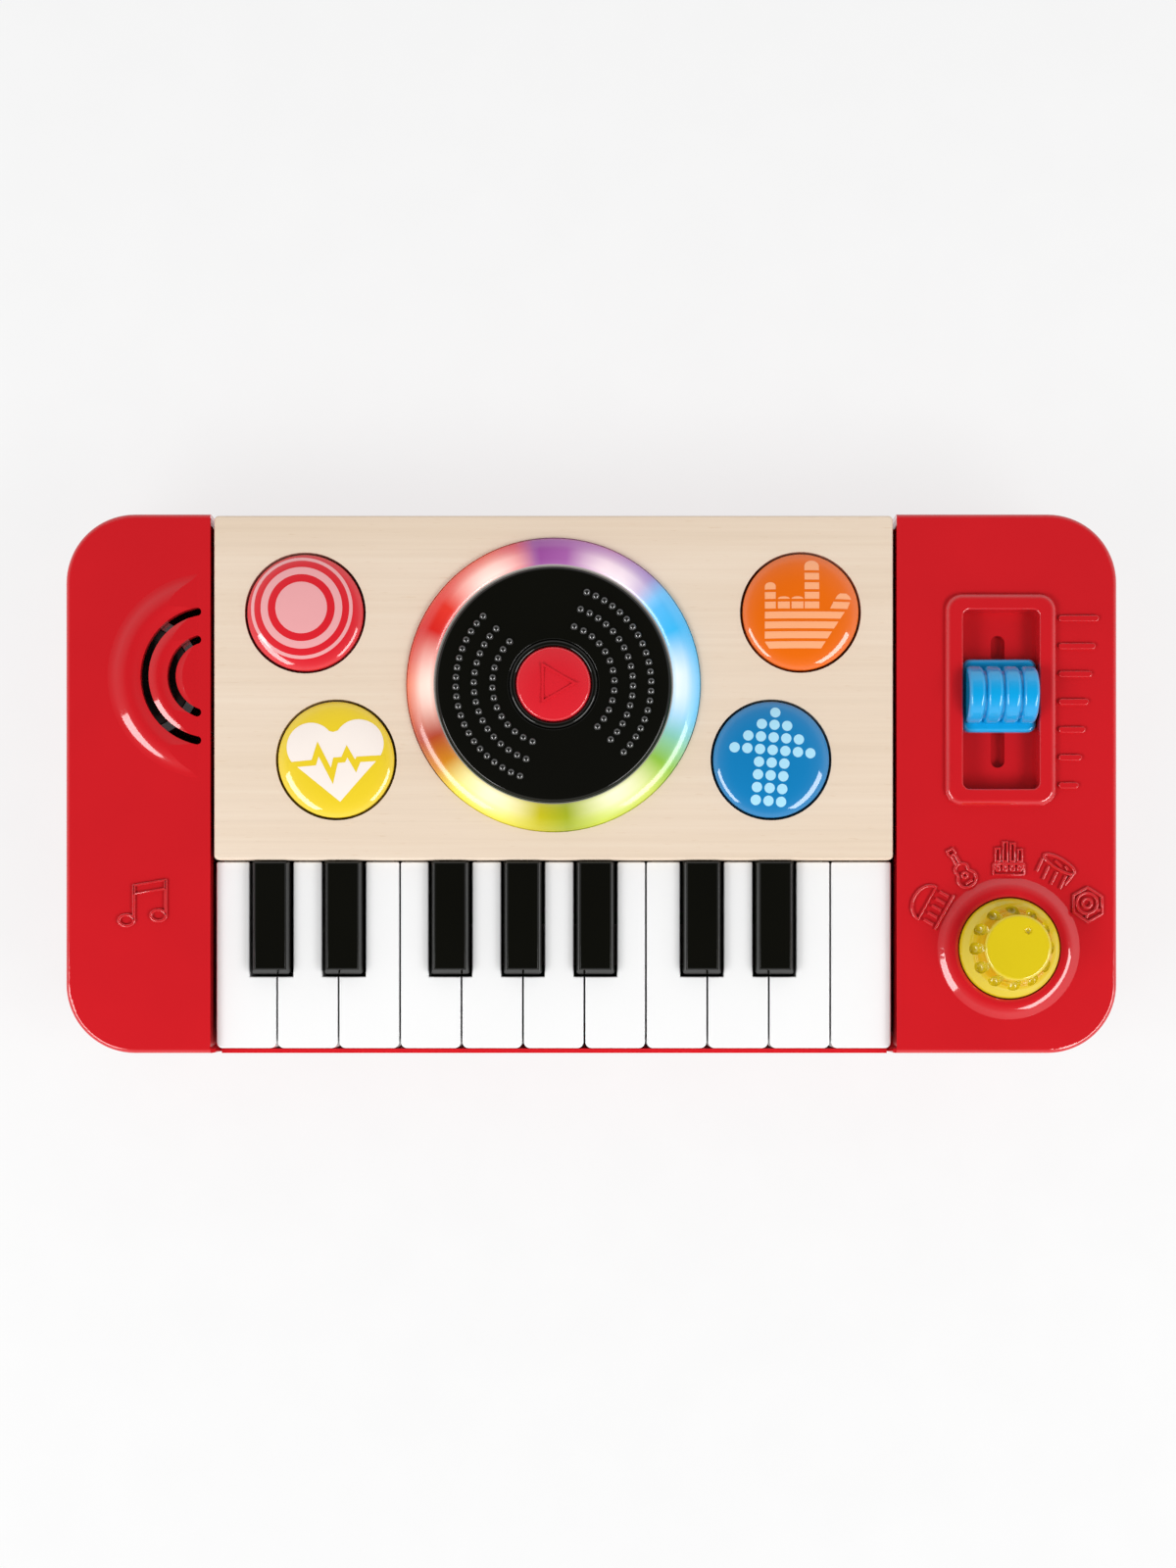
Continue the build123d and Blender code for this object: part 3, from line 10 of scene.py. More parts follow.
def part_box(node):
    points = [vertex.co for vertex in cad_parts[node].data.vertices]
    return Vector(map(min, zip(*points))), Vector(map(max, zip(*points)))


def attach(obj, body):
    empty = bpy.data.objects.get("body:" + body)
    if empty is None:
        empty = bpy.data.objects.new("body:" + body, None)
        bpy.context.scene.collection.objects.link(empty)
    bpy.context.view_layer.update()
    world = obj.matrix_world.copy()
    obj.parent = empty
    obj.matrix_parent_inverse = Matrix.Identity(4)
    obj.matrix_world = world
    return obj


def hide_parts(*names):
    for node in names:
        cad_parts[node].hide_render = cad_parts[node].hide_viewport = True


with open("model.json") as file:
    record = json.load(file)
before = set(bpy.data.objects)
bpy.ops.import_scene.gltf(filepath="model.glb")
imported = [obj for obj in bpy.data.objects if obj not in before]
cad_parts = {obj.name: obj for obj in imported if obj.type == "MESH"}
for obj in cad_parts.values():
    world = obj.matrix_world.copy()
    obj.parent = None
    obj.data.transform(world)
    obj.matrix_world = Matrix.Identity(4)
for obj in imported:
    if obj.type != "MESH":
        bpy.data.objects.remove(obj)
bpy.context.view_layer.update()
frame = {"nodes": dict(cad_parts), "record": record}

MM = 0.001
WHITE = (1.0, 1.0, 1.0, 1.0)
BLACK = (0.0, 0.0, 0.0, 1.0)


# --- Places read from the frame ---------------------------------------------------------------
def middle_of(node):
    """The x and y of the middle of a CAD node's box, in metres."""
    low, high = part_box(node)
    return (low.x + high.x) / 2, (low.y + high.y) / 2


def radius_of(node):
    """The outer radius of a round CAD node, in metres."""
    low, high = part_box(node)
    return (high.x - low.x) / 2


PANEL_DROP = 0.2 * MM  # the wooden panel lies this far below the covers' deck
FRAME_HEIGHT = 2.2 * MM  # the slider's frame stands this far above the right cover's deck
mixer_center = middle_of("turntable_disc")
knob_center = middle_of("selector_knob")
panel_low, panel_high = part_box("wood_panel")
deck_height = panel_high.z + PANEL_DROP
cover_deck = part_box("right_cover")[1].z - FRAME_HEIGHT


# --- Shader building blocks -------------------------------------------------------------------
materials = {}


def srgb(red, green, blue):
    """A colour given as screen values from 0 to 255, as linear light."""
    def linear(value):
        value /= 255
        return value / 12.92 if value <= 0.04045 else ((value + 0.055) / 1.055) ** 2.4
    return linear(red), linear(green), linear(blue), 1.0


def grey(level):
    return level, level, level, 1.0


def shade(color, factor):
    """A colour made darker or lighter by a factor."""
    return tuple(min(1.0, channel * factor) for channel in color[:3]) + (1.0,)


def start_material(name):
    """Add a material to the table, and give its node tree and its Principled shader."""
    materials[name] = bpy.data.materials.new(name)
    materials[name].use_nodes = True
    tree = materials[name].node_tree
    return tree, tree.nodes["Principled BSDF"]


def feed(tree, socket, value):
    """Link an input to another node's output, or set it to a plain value."""
    if isinstance(value, bpy.types.NodeSocket):
        tree.links.new(value, socket)
    else:
        socket.default_value = value


def place_vector(tree, scale=(1.0, 1.0, 1.0)):
    """Object coordinates, in metres, stretched along the axes."""
    coordinates = tree.nodes.new("ShaderNodeTexCoord")
    mapping = tree.nodes.new("ShaderNodeMapping")
    mapping.inputs["Scale"].default_value = scale
    tree.links.new(coordinates.outputs["Object"], mapping.inputs["Vector"])
    return mapping.outputs["Vector"]


def split_vector(tree, output):
    """The X, Y and Z outputs of a kind of texture coordinate."""
    coordinates = tree.nodes.new("ShaderNodeTexCoord")
    split = tree.nodes.new("ShaderNodeSeparateXYZ")
    tree.links.new(coordinates.outputs[output], split.inputs["Vector"])
    return split.outputs


def noise(tree, vector, scale, detail=2.0, roughness=0.5):
    texture = tree.nodes.new("ShaderNodeTexNoise")
    texture.inputs["Scale"].default_value = scale
    texture.inputs["Detail"].default_value = detail
    texture.inputs["Roughness"].default_value = roughness
    tree.links.new(vector, texture.inputs["Vector"])
    return texture.outputs["Fac"]


def ramp(tree, factor, stops):
    """A colour ramp through (position, colour) stops."""
    node = tree.nodes.new("ShaderNodeValToRGB")
    elements = node.color_ramp.elements
    while len(elements) < len(stops):
        elements.new(0.5)
    for element, (position, color) in zip(elements, stops):
        element.position = position
        element.color = color
    tree.links.new(factor, node.inputs["Fac"])
    return node.outputs["Color"]


def span(tree, factor, low, high):
    """The factor's 0 to 1 moved to low to high."""
    node = tree.nodes.new("ShaderNodeMapRange")
    node.inputs["To Min"].default_value = low
    node.inputs["To Max"].default_value = high
    tree.links.new(factor, node.inputs["Value"])
    return node.outputs["Result"]


def compute(tree, operation, first, second=None):
    """A Math node on sockets or numbers."""
    node = tree.nodes.new("ShaderNodeMath")
    node.operation = operation
    feed(tree, node.inputs[0], first)
    if second is not None:
        feed(tree, node.inputs[1], second)
    return node.outputs["Value"]


def mix_colors(tree, factor, first, second, blend="MIX"):
    """The second colour laid over the first by a factor, each a socket or a plain value."""
    node = tree.nodes.new("ShaderNodeMix")
    node.data_type = "RGBA"
    node.blend_type = blend
    factor_input, first_input, second_input, color_output = 0, 6, 7, 2
    feed(tree, node.inputs[factor_input], factor)
    feed(tree, node.inputs[first_input], first)
    feed(tree, node.inputs[second_input], second)
    return node.outputs[color_output]


def wander(tree, factor, color, spread):
    """A colour that wanders a little darker and lighter with a factor."""
    darker, lighter = shade(color, 1.0 - spread), shade(color, 1.0 + spread)
    return ramp(tree, factor, ((0.3, darker), (0.7, lighter)))


def add_bump(tree, shader, height, strength, distance):
    bump = tree.nodes.new("ShaderNodeBump")
    bump.inputs["Strength"].default_value = strength
    bump.inputs["Distance"].default_value = distance
    tree.links.new(height, bump.inputs["Height"])
    tree.links.new(bump.outputs["Normal"], shader.inputs["Normal"])


# --- Materials --------------------------------------------------------------------------------
def plastic(name, color, roughness=0.1, coat=1.0, gloss=0.25, peel=0.3, spread=0.03):
    """Moulded plastic: a slightly uneven colour and gloss under a clear shiny skin."""
    tree, shader = start_material(name)
    vector = place_vector(tree)
    cloud = noise(tree, vector, scale=26.0, detail=3.0)
    grain = noise(tree, vector, scale=340.0, detail=4.0, roughness=0.6)
    orange_peel = noise(tree, vector, scale=160.0)
    feed(tree, shader.inputs["Base Color"], wander(tree, cloud, color, spread))
    feed(tree, shader.inputs["Roughness"], span(tree, grain, roughness * 0.8, roughness * 1.25))
    shader.inputs["Specular IOR Level"].default_value = gloss
    shader.inputs["Coat Weight"].default_value = coat
    shader.inputs["Coat Roughness"].default_value = 0.04
    add_bump(tree, shader, orange_peel, peel, 0.01 * MM)


def metal(name, color, roughness=0.3):
    """Brushed metal, with its streaks along X."""
    tree, shader = start_material(name)
    vector = place_vector(tree, scale=(1.0, 12.0, 1.0))
    brushed = noise(tree, vector, scale=700.0, detail=3.0, roughness=0.6)
    streaks = ramp(tree, brushed, ((0.25, shade(color, 0.86)), (0.75, shade(color, 1.08))))
    feed(tree, shader.inputs["Base Color"], streaks)
    feed(tree, shader.inputs["Roughness"], span(tree, brushed, roughness * 0.7, roughness * 1.3))
    shader.inputs["Metallic"].default_value = 1.0


def matte(name, color, roughness=0.7, grain=600.0, depth=0.05, spread=0.12):
    """Rubber, felt, paper and board: a mottled colour, and a soft grain with its depth in mm."""
    tree, shader = start_material(name)
    vector = place_vector(tree)
    mottle = noise(tree, vector, grain / 3, detail=4.0, roughness=0.65)
    roughest = min(1.0, roughness * 1.15)
    feed(tree, shader.inputs["Base Color"], wander(tree, mottle, color, spread))
    feed(tree, shader.inputs["Roughness"], span(tree, mottle, roughness * 0.85, roughest))
    fine = noise(tree, vector, grain, detail=3.0, roughness=0.6)
    add_bump(tree, shader, fine, 0.6, depth * MM)


def plywood(name):
    """Pale lacquered veneer: faint fibres and broad soft bands along X, and a few short pores."""
    tree, shader = start_material(name)
    fibre_place = place_vector(tree, scale=(9.0, 620.0, 300.0))
    band_place = place_vector(tree, scale=(3.5, 46.0, 40.0))
    pore_place = place_vector(tree, scale=(170.0, 1900.0, 900.0))
    fibres = noise(tree, fibre_place, scale=1.0, detail=5.0, roughness=0.6)
    bands = noise(tree, band_place, scale=1.0, detail=3.0)
    pores = noise(tree, pore_place, scale=1.0)
    fibre_stops = (
        (0.28, srgb(225, 207, 188)),
        (0.5, srgb(229, 211, 192)),
        (0.75, srgb(232, 216, 198)),
    )
    band_stops = ((0.3, srgb(247, 243, 236)), (0.7, srgb(255, 254, 252)))
    pore_stops = ((0.66, WHITE), (0.78, srgb(238, 226, 211)))
    color = ramp(tree, fibres, fibre_stops)
    for factor, stops, weight in ((bands, band_stops, 0.9), (pores, pore_stops, 0.5)):
        color = mix_colors(tree, weight, color, ramp(tree, factor, stops), blend="MULTIPLY")
    feed(tree, shader.inputs["Base Color"], color)
    feed(tree, shader.inputs["Roughness"], span(tree, fibres, 0.42, 0.58))
    shader.inputs["Coat Weight"].default_value = 0.1
    shader.inputs["Coat Roughness"].default_value = 0.3
    add_bump(tree, shader, fibres, 0.25, 0.02 * MM)


# The light ring's hues, as (degrees about the deck's middle from +X, screen colour).
RING_HUES = (
    (-180, (232, 104, 62)), (-157, (176, 62, 38)), (-144, (208, 132, 30)), (-132, (236, 222, 40)),
    (-112, (232, 222, 52)), (-96, (196, 186, 30)), (-84, (160, 172, 36)), (-70, (196, 212, 44)),
    (-48, (196, 214, 66)), (-36, (140, 190, 60)), (-26, (140, 200, 160)), (-14, (98, 196, 240)),
    (24, (60, 182, 240)), (40, (96, 186, 242)), (48, (150, 120, 190)), (66, (176, 112, 176)),
    (98, (146, 72, 146)), (106, (206, 40, 70)), (118, (226, 72, 50)), (146, (222, 52, 40)),
    (158, (208, 30, 26)), (170, (214, 62, 36)), (180, (232, 104, 62)),
)


def ring_light(name):
    """A translucent diffuser over six lamps.

    The hue goes with the angle about the deck's middle, each lamp makes a pale glow, and the
    glow is strongest near the inner edge, which has a thin grey rim: a painted highlight
    standing for the light caught along that edge.
    """
    tree, shader = start_material(name)
    place = split_vector(tree, "Object")
    across = compute(tree, "SUBTRACT", place["X"], mixer_center[0])
    along = compute(tree, "SUBTRACT", place["Y"], mixer_center[1])
    angle = compute(tree, "ARCTAN2", along, across)
    turn_share = compute(tree, "ADD", compute(tree, "DIVIDE", angle, 2 * math.pi), 0.5)
    hue_strength = 0.72
    hue_stops = [
        ((degrees + 180) / 360, shade(srgb(*color), hue_strength)) for degrees, color in RING_HUES
    ]
    hue = ramp(tree, turn_share, hue_stops)

    lamp_count = 6.0
    lamps = compute(tree, "COSINE", compute(tree, "MULTIPLY", angle, lamp_count))
    lamp_wave = compute(tree, "ADD", compute(tree, "MULTIPLY", lamps, 0.5), 0.5)
    lamp_glow = span(tree, lamp_wave, -0.06, 0.62)

    inner, outer = 38.6 * MM, 47.8 * MM
    across_squared = compute(tree, "MULTIPLY", across, across)
    along_squared = compute(tree, "MULTIPLY", along, along)
    distance = compute(tree, "SQRT", compute(tree, "ADD", across_squared, along_squared))
    ring_share = compute(tree, "DIVIDE", compute(tree, "SUBTRACT", distance, inner), outer - inner)
    band_levels = ((0.0, 0.55), (0.18, 1.0), (0.5, 0.85), (0.72, 0.35), (1.0, 0.02))
    band = ramp(tree, ring_share, [(share, grey(level)) for share, level in band_levels])

    cloud = noise(tree, place_vector(tree), scale=60.0, detail=3.0)
    glow = compute(tree, "MULTIPLY", lamp_glow, band)
    uneven_glow = compute(tree, "MULTIPLY", glow, span(tree, cloud, 0.7, 1.25))
    glow_color = (0.93, 0.86, 0.78, 1.0)
    # The thin grey band along the inner edge is a painted highlight for light caught on that edge.
    painted_rim_highlight_color = (0.3, 0.28, 0.26, 1.0)
    painted_rim_highlight = ramp(tree, ring_share, ((0.0, WHITE), (0.03, WHITE), (0.055, BLACK)))
    color = mix_colors(tree, painted_rim_highlight, mix_colors(tree, uneven_glow, hue, glow_color), painted_rim_highlight_color)
    feed(tree, shader.inputs["Base Color"], color)
    feed(tree, shader.inputs["Emission Color"], color)
    shader.inputs["Emission Strength"].default_value = 0.5
    feed(tree, shader.inputs["Roughness"], span(tree, cloud, 0.2, 0.3))
    shader.inputs["Coat Weight"].default_value = 0.5


black = srgb(11, 11, 7)
plastic("red_plastic", srgb(201, 26, 34))
plywood("plywood")
ring_light("ring_diffuser")
plastic("black_plastic", black, roughness=0.05, coat=0.0, gloss=0.42, spread=0.1)
plastic("black_bumps", black, roughness=0.03, gloss=0.9, peel=0.0, spread=0.1)
plastic("white_plastic", srgb(238, 238, 238), roughness=0.2, coat=0.4, spread=0.01)
plastic("red_button_plastic", srgb(216, 34, 46))
plastic("yellow_plastic", srgb(212, 188, 24))
plastic("orange_plastic", srgb(232, 106, 10))
plastic("blue_plastic", srgb(18, 124, 184))
plastic("blue_handle_plastic", srgb(10, 158, 220))
plastic("pink_print", srgb(234, 166, 168), spread=0.02)
plastic("cream_print", srgb(246, 235, 227), spread=0.02)
plastic("pale_orange_print", srgb(250, 172, 124), spread=0.02)
plastic("pale_blue_print", srgb(170, 222, 244), spread=0.02)
plastic("yellow_dome", srgb(234, 204, 44), spread=0.02)
plastic("led", srgb(244, 244, 238), roughness=0.2)
plastic("battery_sleeve", srgb(70, 74, 80), roughness=0.25)
plastic("wire_insulation", srgb(170, 26, 28), roughness=0.35)
metal("screw_steel", (0.56, 0.56, 0.58))
metal("plated_steel", (0.66, 0.66, 0.68), roughness=0.22)
matte("foot_rubber", srgb(38, 38, 38), roughness=0.85)
matte("switch_plastic", srgb(52, 52, 54), roughness=0.5)
matte("grey_plastic", srgb(96, 97, 99), roughness=0.45, grain=1400.0, depth=0.01)
matte("felt", srgb(120, 30, 34), roughness=0.95, grain=1800.0, depth=0.12, spread=0.3)
matte("circuit_board", srgb(36, 104, 62), roughness=0.4, grain=500.0, depth=0.02, spread=0.18)
matte("silicone", srgb(214, 214, 208), roughness=0.5, grain=700.0, depth=0.02, spread=0.04)
matte("chip_plastic", srgb(26, 26, 27), roughness=0.6, grain=2000.0, depth=0.01)
matte("paper_cone", srgb(34, 33, 32), roughness=0.9, grain=1500.0)
matte("magnet_ferrite", srgb(58, 58, 60), roughness=0.6, grain=900.0, depth=0.03)

slot_of_node = {entry["node"]: entry["material_slot"] for entry in frame["record"]["subparts"]}
for node_name, cad_node in frame["nodes"].items():
    cad_node.data.materials.clear()
    cad_node.data.materials.append(materials[slot_of_node[node_name]])


# --- Mesh helpers -----------------------------------------------------------------------------
def mark_edges(mesh, sharp_degrees):
    """Smooth shading, with hard edges where faces meet at more than the given angle."""
    limit = math.radians(sharp_degrees)
    for face in mesh.faces:
        face.smooth = True
    for edge in mesh.edges:
        edge.smooth = len(edge.link_faces) == 2 and edge.calc_face_angle(0.0) < limit


def make_piece(name, mesh, slot, body, sharp_degrees=32.0, look=None):
    """Turn a bmesh into a piece of the object that rides on a body.

    Its material, finish and colour alike, is the slot's unless another material is named.
    """
    bmesh.ops.recalc_face_normals(mesh, faces=mesh.faces)
    mark_edges(mesh, sharp_degrees)
    data = bpy.data.meshes.new(name)
    mesh.to_mesh(data)
    mesh.free()
    piece = bpy.data.objects.new(name, data)
    bpy.context.scene.collection.objects.link(piece)
    data.materials.append(materials[look or slot])
    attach(piece, body)
    return piece


def ellipse(center, half_width, half_height, start=0, end=360, count=20):
    """Points of an ellipse, or of a part of one with both its ends, angles in degrees."""
    return [
        (
            center[0] + half_width * math.cos(math.radians(start + (end - start) * step / count)),
            center[1] + half_height * math.sin(math.radians(start + (end - start) * step / count)),
        )
        for step in range(count + (0 if end - start == 360 else 1))
    ]


def arc(center, radius, start, end, count):
    return ellipse(center, radius, radius, start, end, count)


def circle(center, radius, count):
    return ellipse(center, radius, radius, count=count)


def lathe(mesh, profile, center, segments):
    """Turn a closed profile of (radius, height) points about the vertical through a centre."""
    on_axis = 1e-7
    rings = []
    for radius, height in profile:
        outline = [center] if radius < on_axis else circle(center, radius, segments)
        rings.append([mesh.verts.new((x, y, height)) for x, y in outline])
    for first, second in zip(rings, rings[1:] + rings[:1]):
        for step in range(segments):
            after = (step + 1) % segments
            corners = (
                first[step % len(first)],
                first[after % len(first)],
                second[after % len(second)],
                second[step % len(second)],
            )
            unique = list(dict.fromkeys(corners))
            if len(unique) > 2:
                mesh.faces.new(unique)


def spline_profile(points, steps):
    """A smooth Catmull-Rom line through a few (radius, height) points."""
    line = []
    for index in range(len(points) - 1):
        before = points[max(index - 1, 0)]
        start, end = points[index], points[index + 1]
        after = points[min(index + 2, len(points) - 1)]
        for step in range(steps):
            t = step / steps
            line.append(tuple(
                0.5 * (
                    2 * start[axis]
                    + (end[axis] - before[axis]) * t
                    + (2 * before[axis] - 5 * start[axis] + 4 * end[axis] - after[axis]) * t * t
                    + (3 * start[axis] - before[axis] - 3 * end[axis] + after[axis]) * t**3
                )
                for axis in (0, 1)
            ))
    line.append(points[-1])
    return line


def turned(points, degrees):
    """Points turned about the origin."""
    cosine, sine = math.cos(math.radians(degrees)), math.sin(math.radians(degrees))
    return [(x * cosine - y * sine, x * sine + y * cosine) for x, y in points]


# --- Domed buttons ----------------------------------------------------------------------------
FLANGE_REACH = 2.5 * MM  # a button's flange stands out this far past its cap
CAP_RISE = 3.4 * MM  # from the edge of a cap to its crest


def dome_height(radius, cap_radius, crest):
    """Height of a button's glossy dome at a distance from its middle."""
    edge = crest - CAP_RISE
    share = min(1.0, radius / cap_radius)
    return edge + (crest - edge) * (1 - share**3) ** 0.62


def button_cap(node, look=None):
    """A smooth cap in place of the CAD one: dome, skirt, flange and stem."""
    low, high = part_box(node)
    flange_radius = radius_of(node)
    cap_radius = flange_radius - FLANGE_REACH
    edge = high.z - CAP_RISE
    flange_bottom = panel_low.z - 2.9 * MM
    flange_top = panel_low.z - 0.5 * MM
    wall = 1.6 * MM
    stem_radius = 3.0 * MM
    dome_steps = 28
    profile = []
    for step in range(dome_steps + 1):
        radius = cap_radius * math.sin(math.pi / 2 * step / dome_steps)
        profile.append((radius, dome_height(radius, cap_radius, high.z)))
    profile += [
        (cap_radius, flange_top),
        (flange_radius, flange_top),
        (flange_radius, flange_bottom),
        (cap_radius - wall, flange_bottom),
        (cap_radius - wall, edge - 1.0 * MM),
        (stem_radius, edge),
        (stem_radius, low.z),
        (0.0, low.z),
    ]
    mesh = bmesh.new()
    lathe(mesh, profile, middle_of(node), 160)
    cap = make_piece(f"{node}_cap", mesh, slot_of_node[node], node, look=look)
    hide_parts(node)


# --- Prints on the buttons, in millimetres about each button's middle -------------------------
def fill_outline(mesh, outline, holes=()):
    """Add the flat triangles of an outline with holes."""
    loops = [[Vector((x, y, 0)) for x, y in loop] for loop in (outline, *holes)]
    verts = [mesh.verts.new(point) for loop in loops for point in loop]
    for triangle in tessellate_polygon(loops):
        mesh.faces.new([verts[index] for index in triangle])


def print_piece(name, node, ink, shapes, turn=0.0, lift=0.03):
    """Thin printed shapes, each an outline and its holes, laid on a button's dome."""
    center_x, center_y = middle_of(node)
    cap_radius = radius_of(node) - FLANGE_REACH
    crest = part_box(node)[1].z
    mesh = bmesh.new()
    for outline, holes in shapes:
        fill_outline(mesh, outline, holes)
    longest_edge = 1.1
    for _ in range(6):
        long_edges = [edge for edge in mesh.edges if edge.calc_length() > longest_edge]
        if not long_edges:
            break
        bmesh.ops.subdivide_edges(mesh, edges=long_edges, cuts=1)
        bmesh.ops.triangulate(mesh, faces=mesh.faces)
    places = turned([vertex.co.xy for vertex in mesh.verts], turn)
    for vertex, place in zip(mesh.verts, places):
        x, y = place[0] * MM, place[1] * MM
        height = dome_height(math.hypot(x, y), cap_radius, crest)
        vertex.co = (center_x + x, center_y + y, height + lift * MM)
    for face in mesh.faces:
        if face.normal.z < 0:
            face.normal_flip()
    make_piece(name, mesh, slot_of_node[node], node, 60.0, ink)


def target_shapes():
    """A disc inside two rings."""
    middle = (-0.9, 1.2)
    shapes = [(circle(middle, 8.4, 64), ())]
    for outer, inner in ((13.3, 10.9), (16.6, 15.5)):
        shapes.append((circle(middle, outer, 96), (circle(middle, inner, 96)[::-1],)))
    return shapes


def heart_shapes():
    """A wide heart with round lobes and straight sides down to its tip."""
    cleft, tip = (-0.56, 8.7), (1.6, -13.9)
    left_lobe, right_lobe = ((-8.0, 3.9), 7.9), ((7.7, 5.0), 7.95)
    outline = [tip, *arc(*right_lobe, -38, 148, 26), cleft, *arc(*left_lobe, 40, 222, 26)]
    return [(outline, ())]


def stroke(points, width):
    """The outline of a zigzag line of a given width, with mitred corners."""
    sharpest_mitre = 0.35
    left, right = [], []
    for index, (x, y) in enumerate(points):
        before = points[max(index - 1, 0)]
        after = points[min(index + 1, len(points) - 1)]
        first = Vector((x - before[0], y - before[1]))
        second = Vector((after[0] - x, after[1] - y))
        first = first.normalized() if first.length else second.normalized()
        second = second.normalized() if second.length else first
        normal = Vector((-(first.y + second.y), first.x + second.x)).normalized()
        reach = width / 2 / max(sharpest_mitre, normal.dot(Vector((-second.y, second.x))))
        left.append((x + normal.x * reach, y + normal.y * reach))
        right.append((x - normal.x * reach, y - normal.y * reach))
    return left + right[::-1]


def pulse_shapes():
    """A heartbeat line across the heart."""
    pulse = (
        (-15.6, -2.0), (-6.9, -1.3), (-5.5, 3.2), (-1.0, -5.6), (0.2, -0.5), (2.7, -0.3),
        (3.9, 2.4), (6.7, -2.4), (7.6, -0.2), (16.2, 0.4),
    )
    return [(stroke(pulse, 1.85), ())]


def stripe(low, high):
    """A four-sided stripe between a bottom and a top line, each (left x, right x, y)."""
    return [(low[0], low[2]), (low[1], low[2]), (high[1], high[2]), (high[0], high[2])]


def finger_tip(low_x, high_x, bottom, tip):
    """A stripe with a rounded top."""
    middle, half = (low_x + high_x) / 2, (high_x - low_x) / 2
    shoulder = max(bottom, tip - half * 0.8)
    foot = [(low_x, bottom), (high_x, bottom)] if shoulder - bottom > 0.05 else []
    return foot + ellipse((middle, shoulder), half, tip - shoulder, 0, 180, 14)


def hand_shapes():
    """A hand cut into level stripes, with the first and last fingers up and the thumb out."""
    pitch, height = 3.14, 2.24
    palm_pitch = pitch + 0.06
    palm_top, knuckles = -0.33, 0.67
    palm_left, palm_right, palm_slope = -11.86, 14.1, 0.648
    outlines = []
    for row in range(4):
        top = palm_top - row * palm_pitch
        bottom = top - height
        left_bottom = palm_left + (1.5 if row == 3 else 0.0)
        right_top = palm_right + (top - palm_top) * palm_slope
        right_bottom = palm_right + (bottom - palm_top) * palm_slope
        outlines.append(stripe((left_bottom, right_bottom, bottom), (palm_left, right_top, top)))
    fingers = (
        (-11.86, -8.36, 2, 9.33),
        (-7.67, -3.83, 1, 4.6),
        (-3.25, 0.59, 1, 4.6),
        (1.0, 5.76, 4, 16.5),
    )
    for low_x, high_x, rows, tip in fingers:
        for row in range(rows):
            bottom = knuckles + row * pitch
            outlines.append(stripe((low_x, high_x, bottom), (low_x, high_x, bottom + height)))
        outlines.append(finger_tip(low_x, high_x, knuckles + rows * pitch, tip))
    outlines.append(stripe((9.3, 15.0, knuckles), (10.4, 15.9, knuckles + height)))
    outlines.append([(10.9, 3.8), (16.3, 3.8), (15.8, 4.8), (14.7, 5.7), (12.6, 5.7), (11.7, 5.0)])
    return [(outline, ()) for outline in outlines]


def arrow_shapes():
    """An arrow built from round dots."""
    pitch, dot_radius, top = 4.12, 1.68, 15.2
    shapes = []
    for row, count in enumerate((1, 3, 5, 7, 3, 3, 3, 3)):
        for place in range(count):
            center = ((place - (count - 1) / 2) * pitch, top - row * pitch)
            shapes.append((circle(center, dot_radius, 28), ()))
    return shapes


button_cap("red_button")
button_cap("yellow_button", look="yellow_dome")
button_cap("orange_button")
button_cap("blue_button")
print_piece("red_button_print", "red_button", "pink_print", target_shapes())
print_piece("yellow_button_print", "yellow_button", "cream_print", heart_shapes())
print_piece("yellow_button_pulse", "yellow_button", "yellow_dome", pulse_shapes(), lift=0.06)
print_piece("orange_button_print", "orange_button", "pale_orange_print", hand_shapes())
print_piece("blue_button_print", "blue_button", "pale_blue_print", arrow_shapes(), turn=-4.5)


# --- Light ring and turning disc --------------------------------------------------------------
def round_ring():
    """A softly crowned lens in place of the CAD ring."""
    low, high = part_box("light_ring")
    outer = radius_of("light_ring")
    inner = radius_of("turntable_disc") + 0.4 * MM
    edge = deck_height + 0.4 * MM
    skirt_bottom = edge - 4.4 * MM
    crown = [
        (outer, edge - 0.6 * MM),
        (outer - 0.5 * MM, edge + 0.7 * MM),
        (outer - 1.9 * MM, edge + 1.75 * MM),
        ((outer + inner) / 2 + 0.4 * MM, high.z),
        (inner + 2.2 * MM, high.z - 0.35 * MM),
        (inner + 0.5 * MM, high.z - 1.1 * MM),
        (inner, high.z - 1.9 * MM),
    ]
    wall = 2.0 * MM
    profile = spline_profile(crown, 6) + [
        (inner, skirt_bottom),
        (inner + wall, skirt_bottom),
        (inner + wall, edge - 0.6 * MM),
        (outer - wall, edge - 1.4 * MM),
        (outer - wall, low.z),
        (outer, low.z),
    ]
    mesh = bmesh.new()
    lathe(mesh, profile, mixer_center, 224)
    ring = make_piece("light_ring_lens", mesh, "ring_diffuser", "case")
    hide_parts("light_ring")


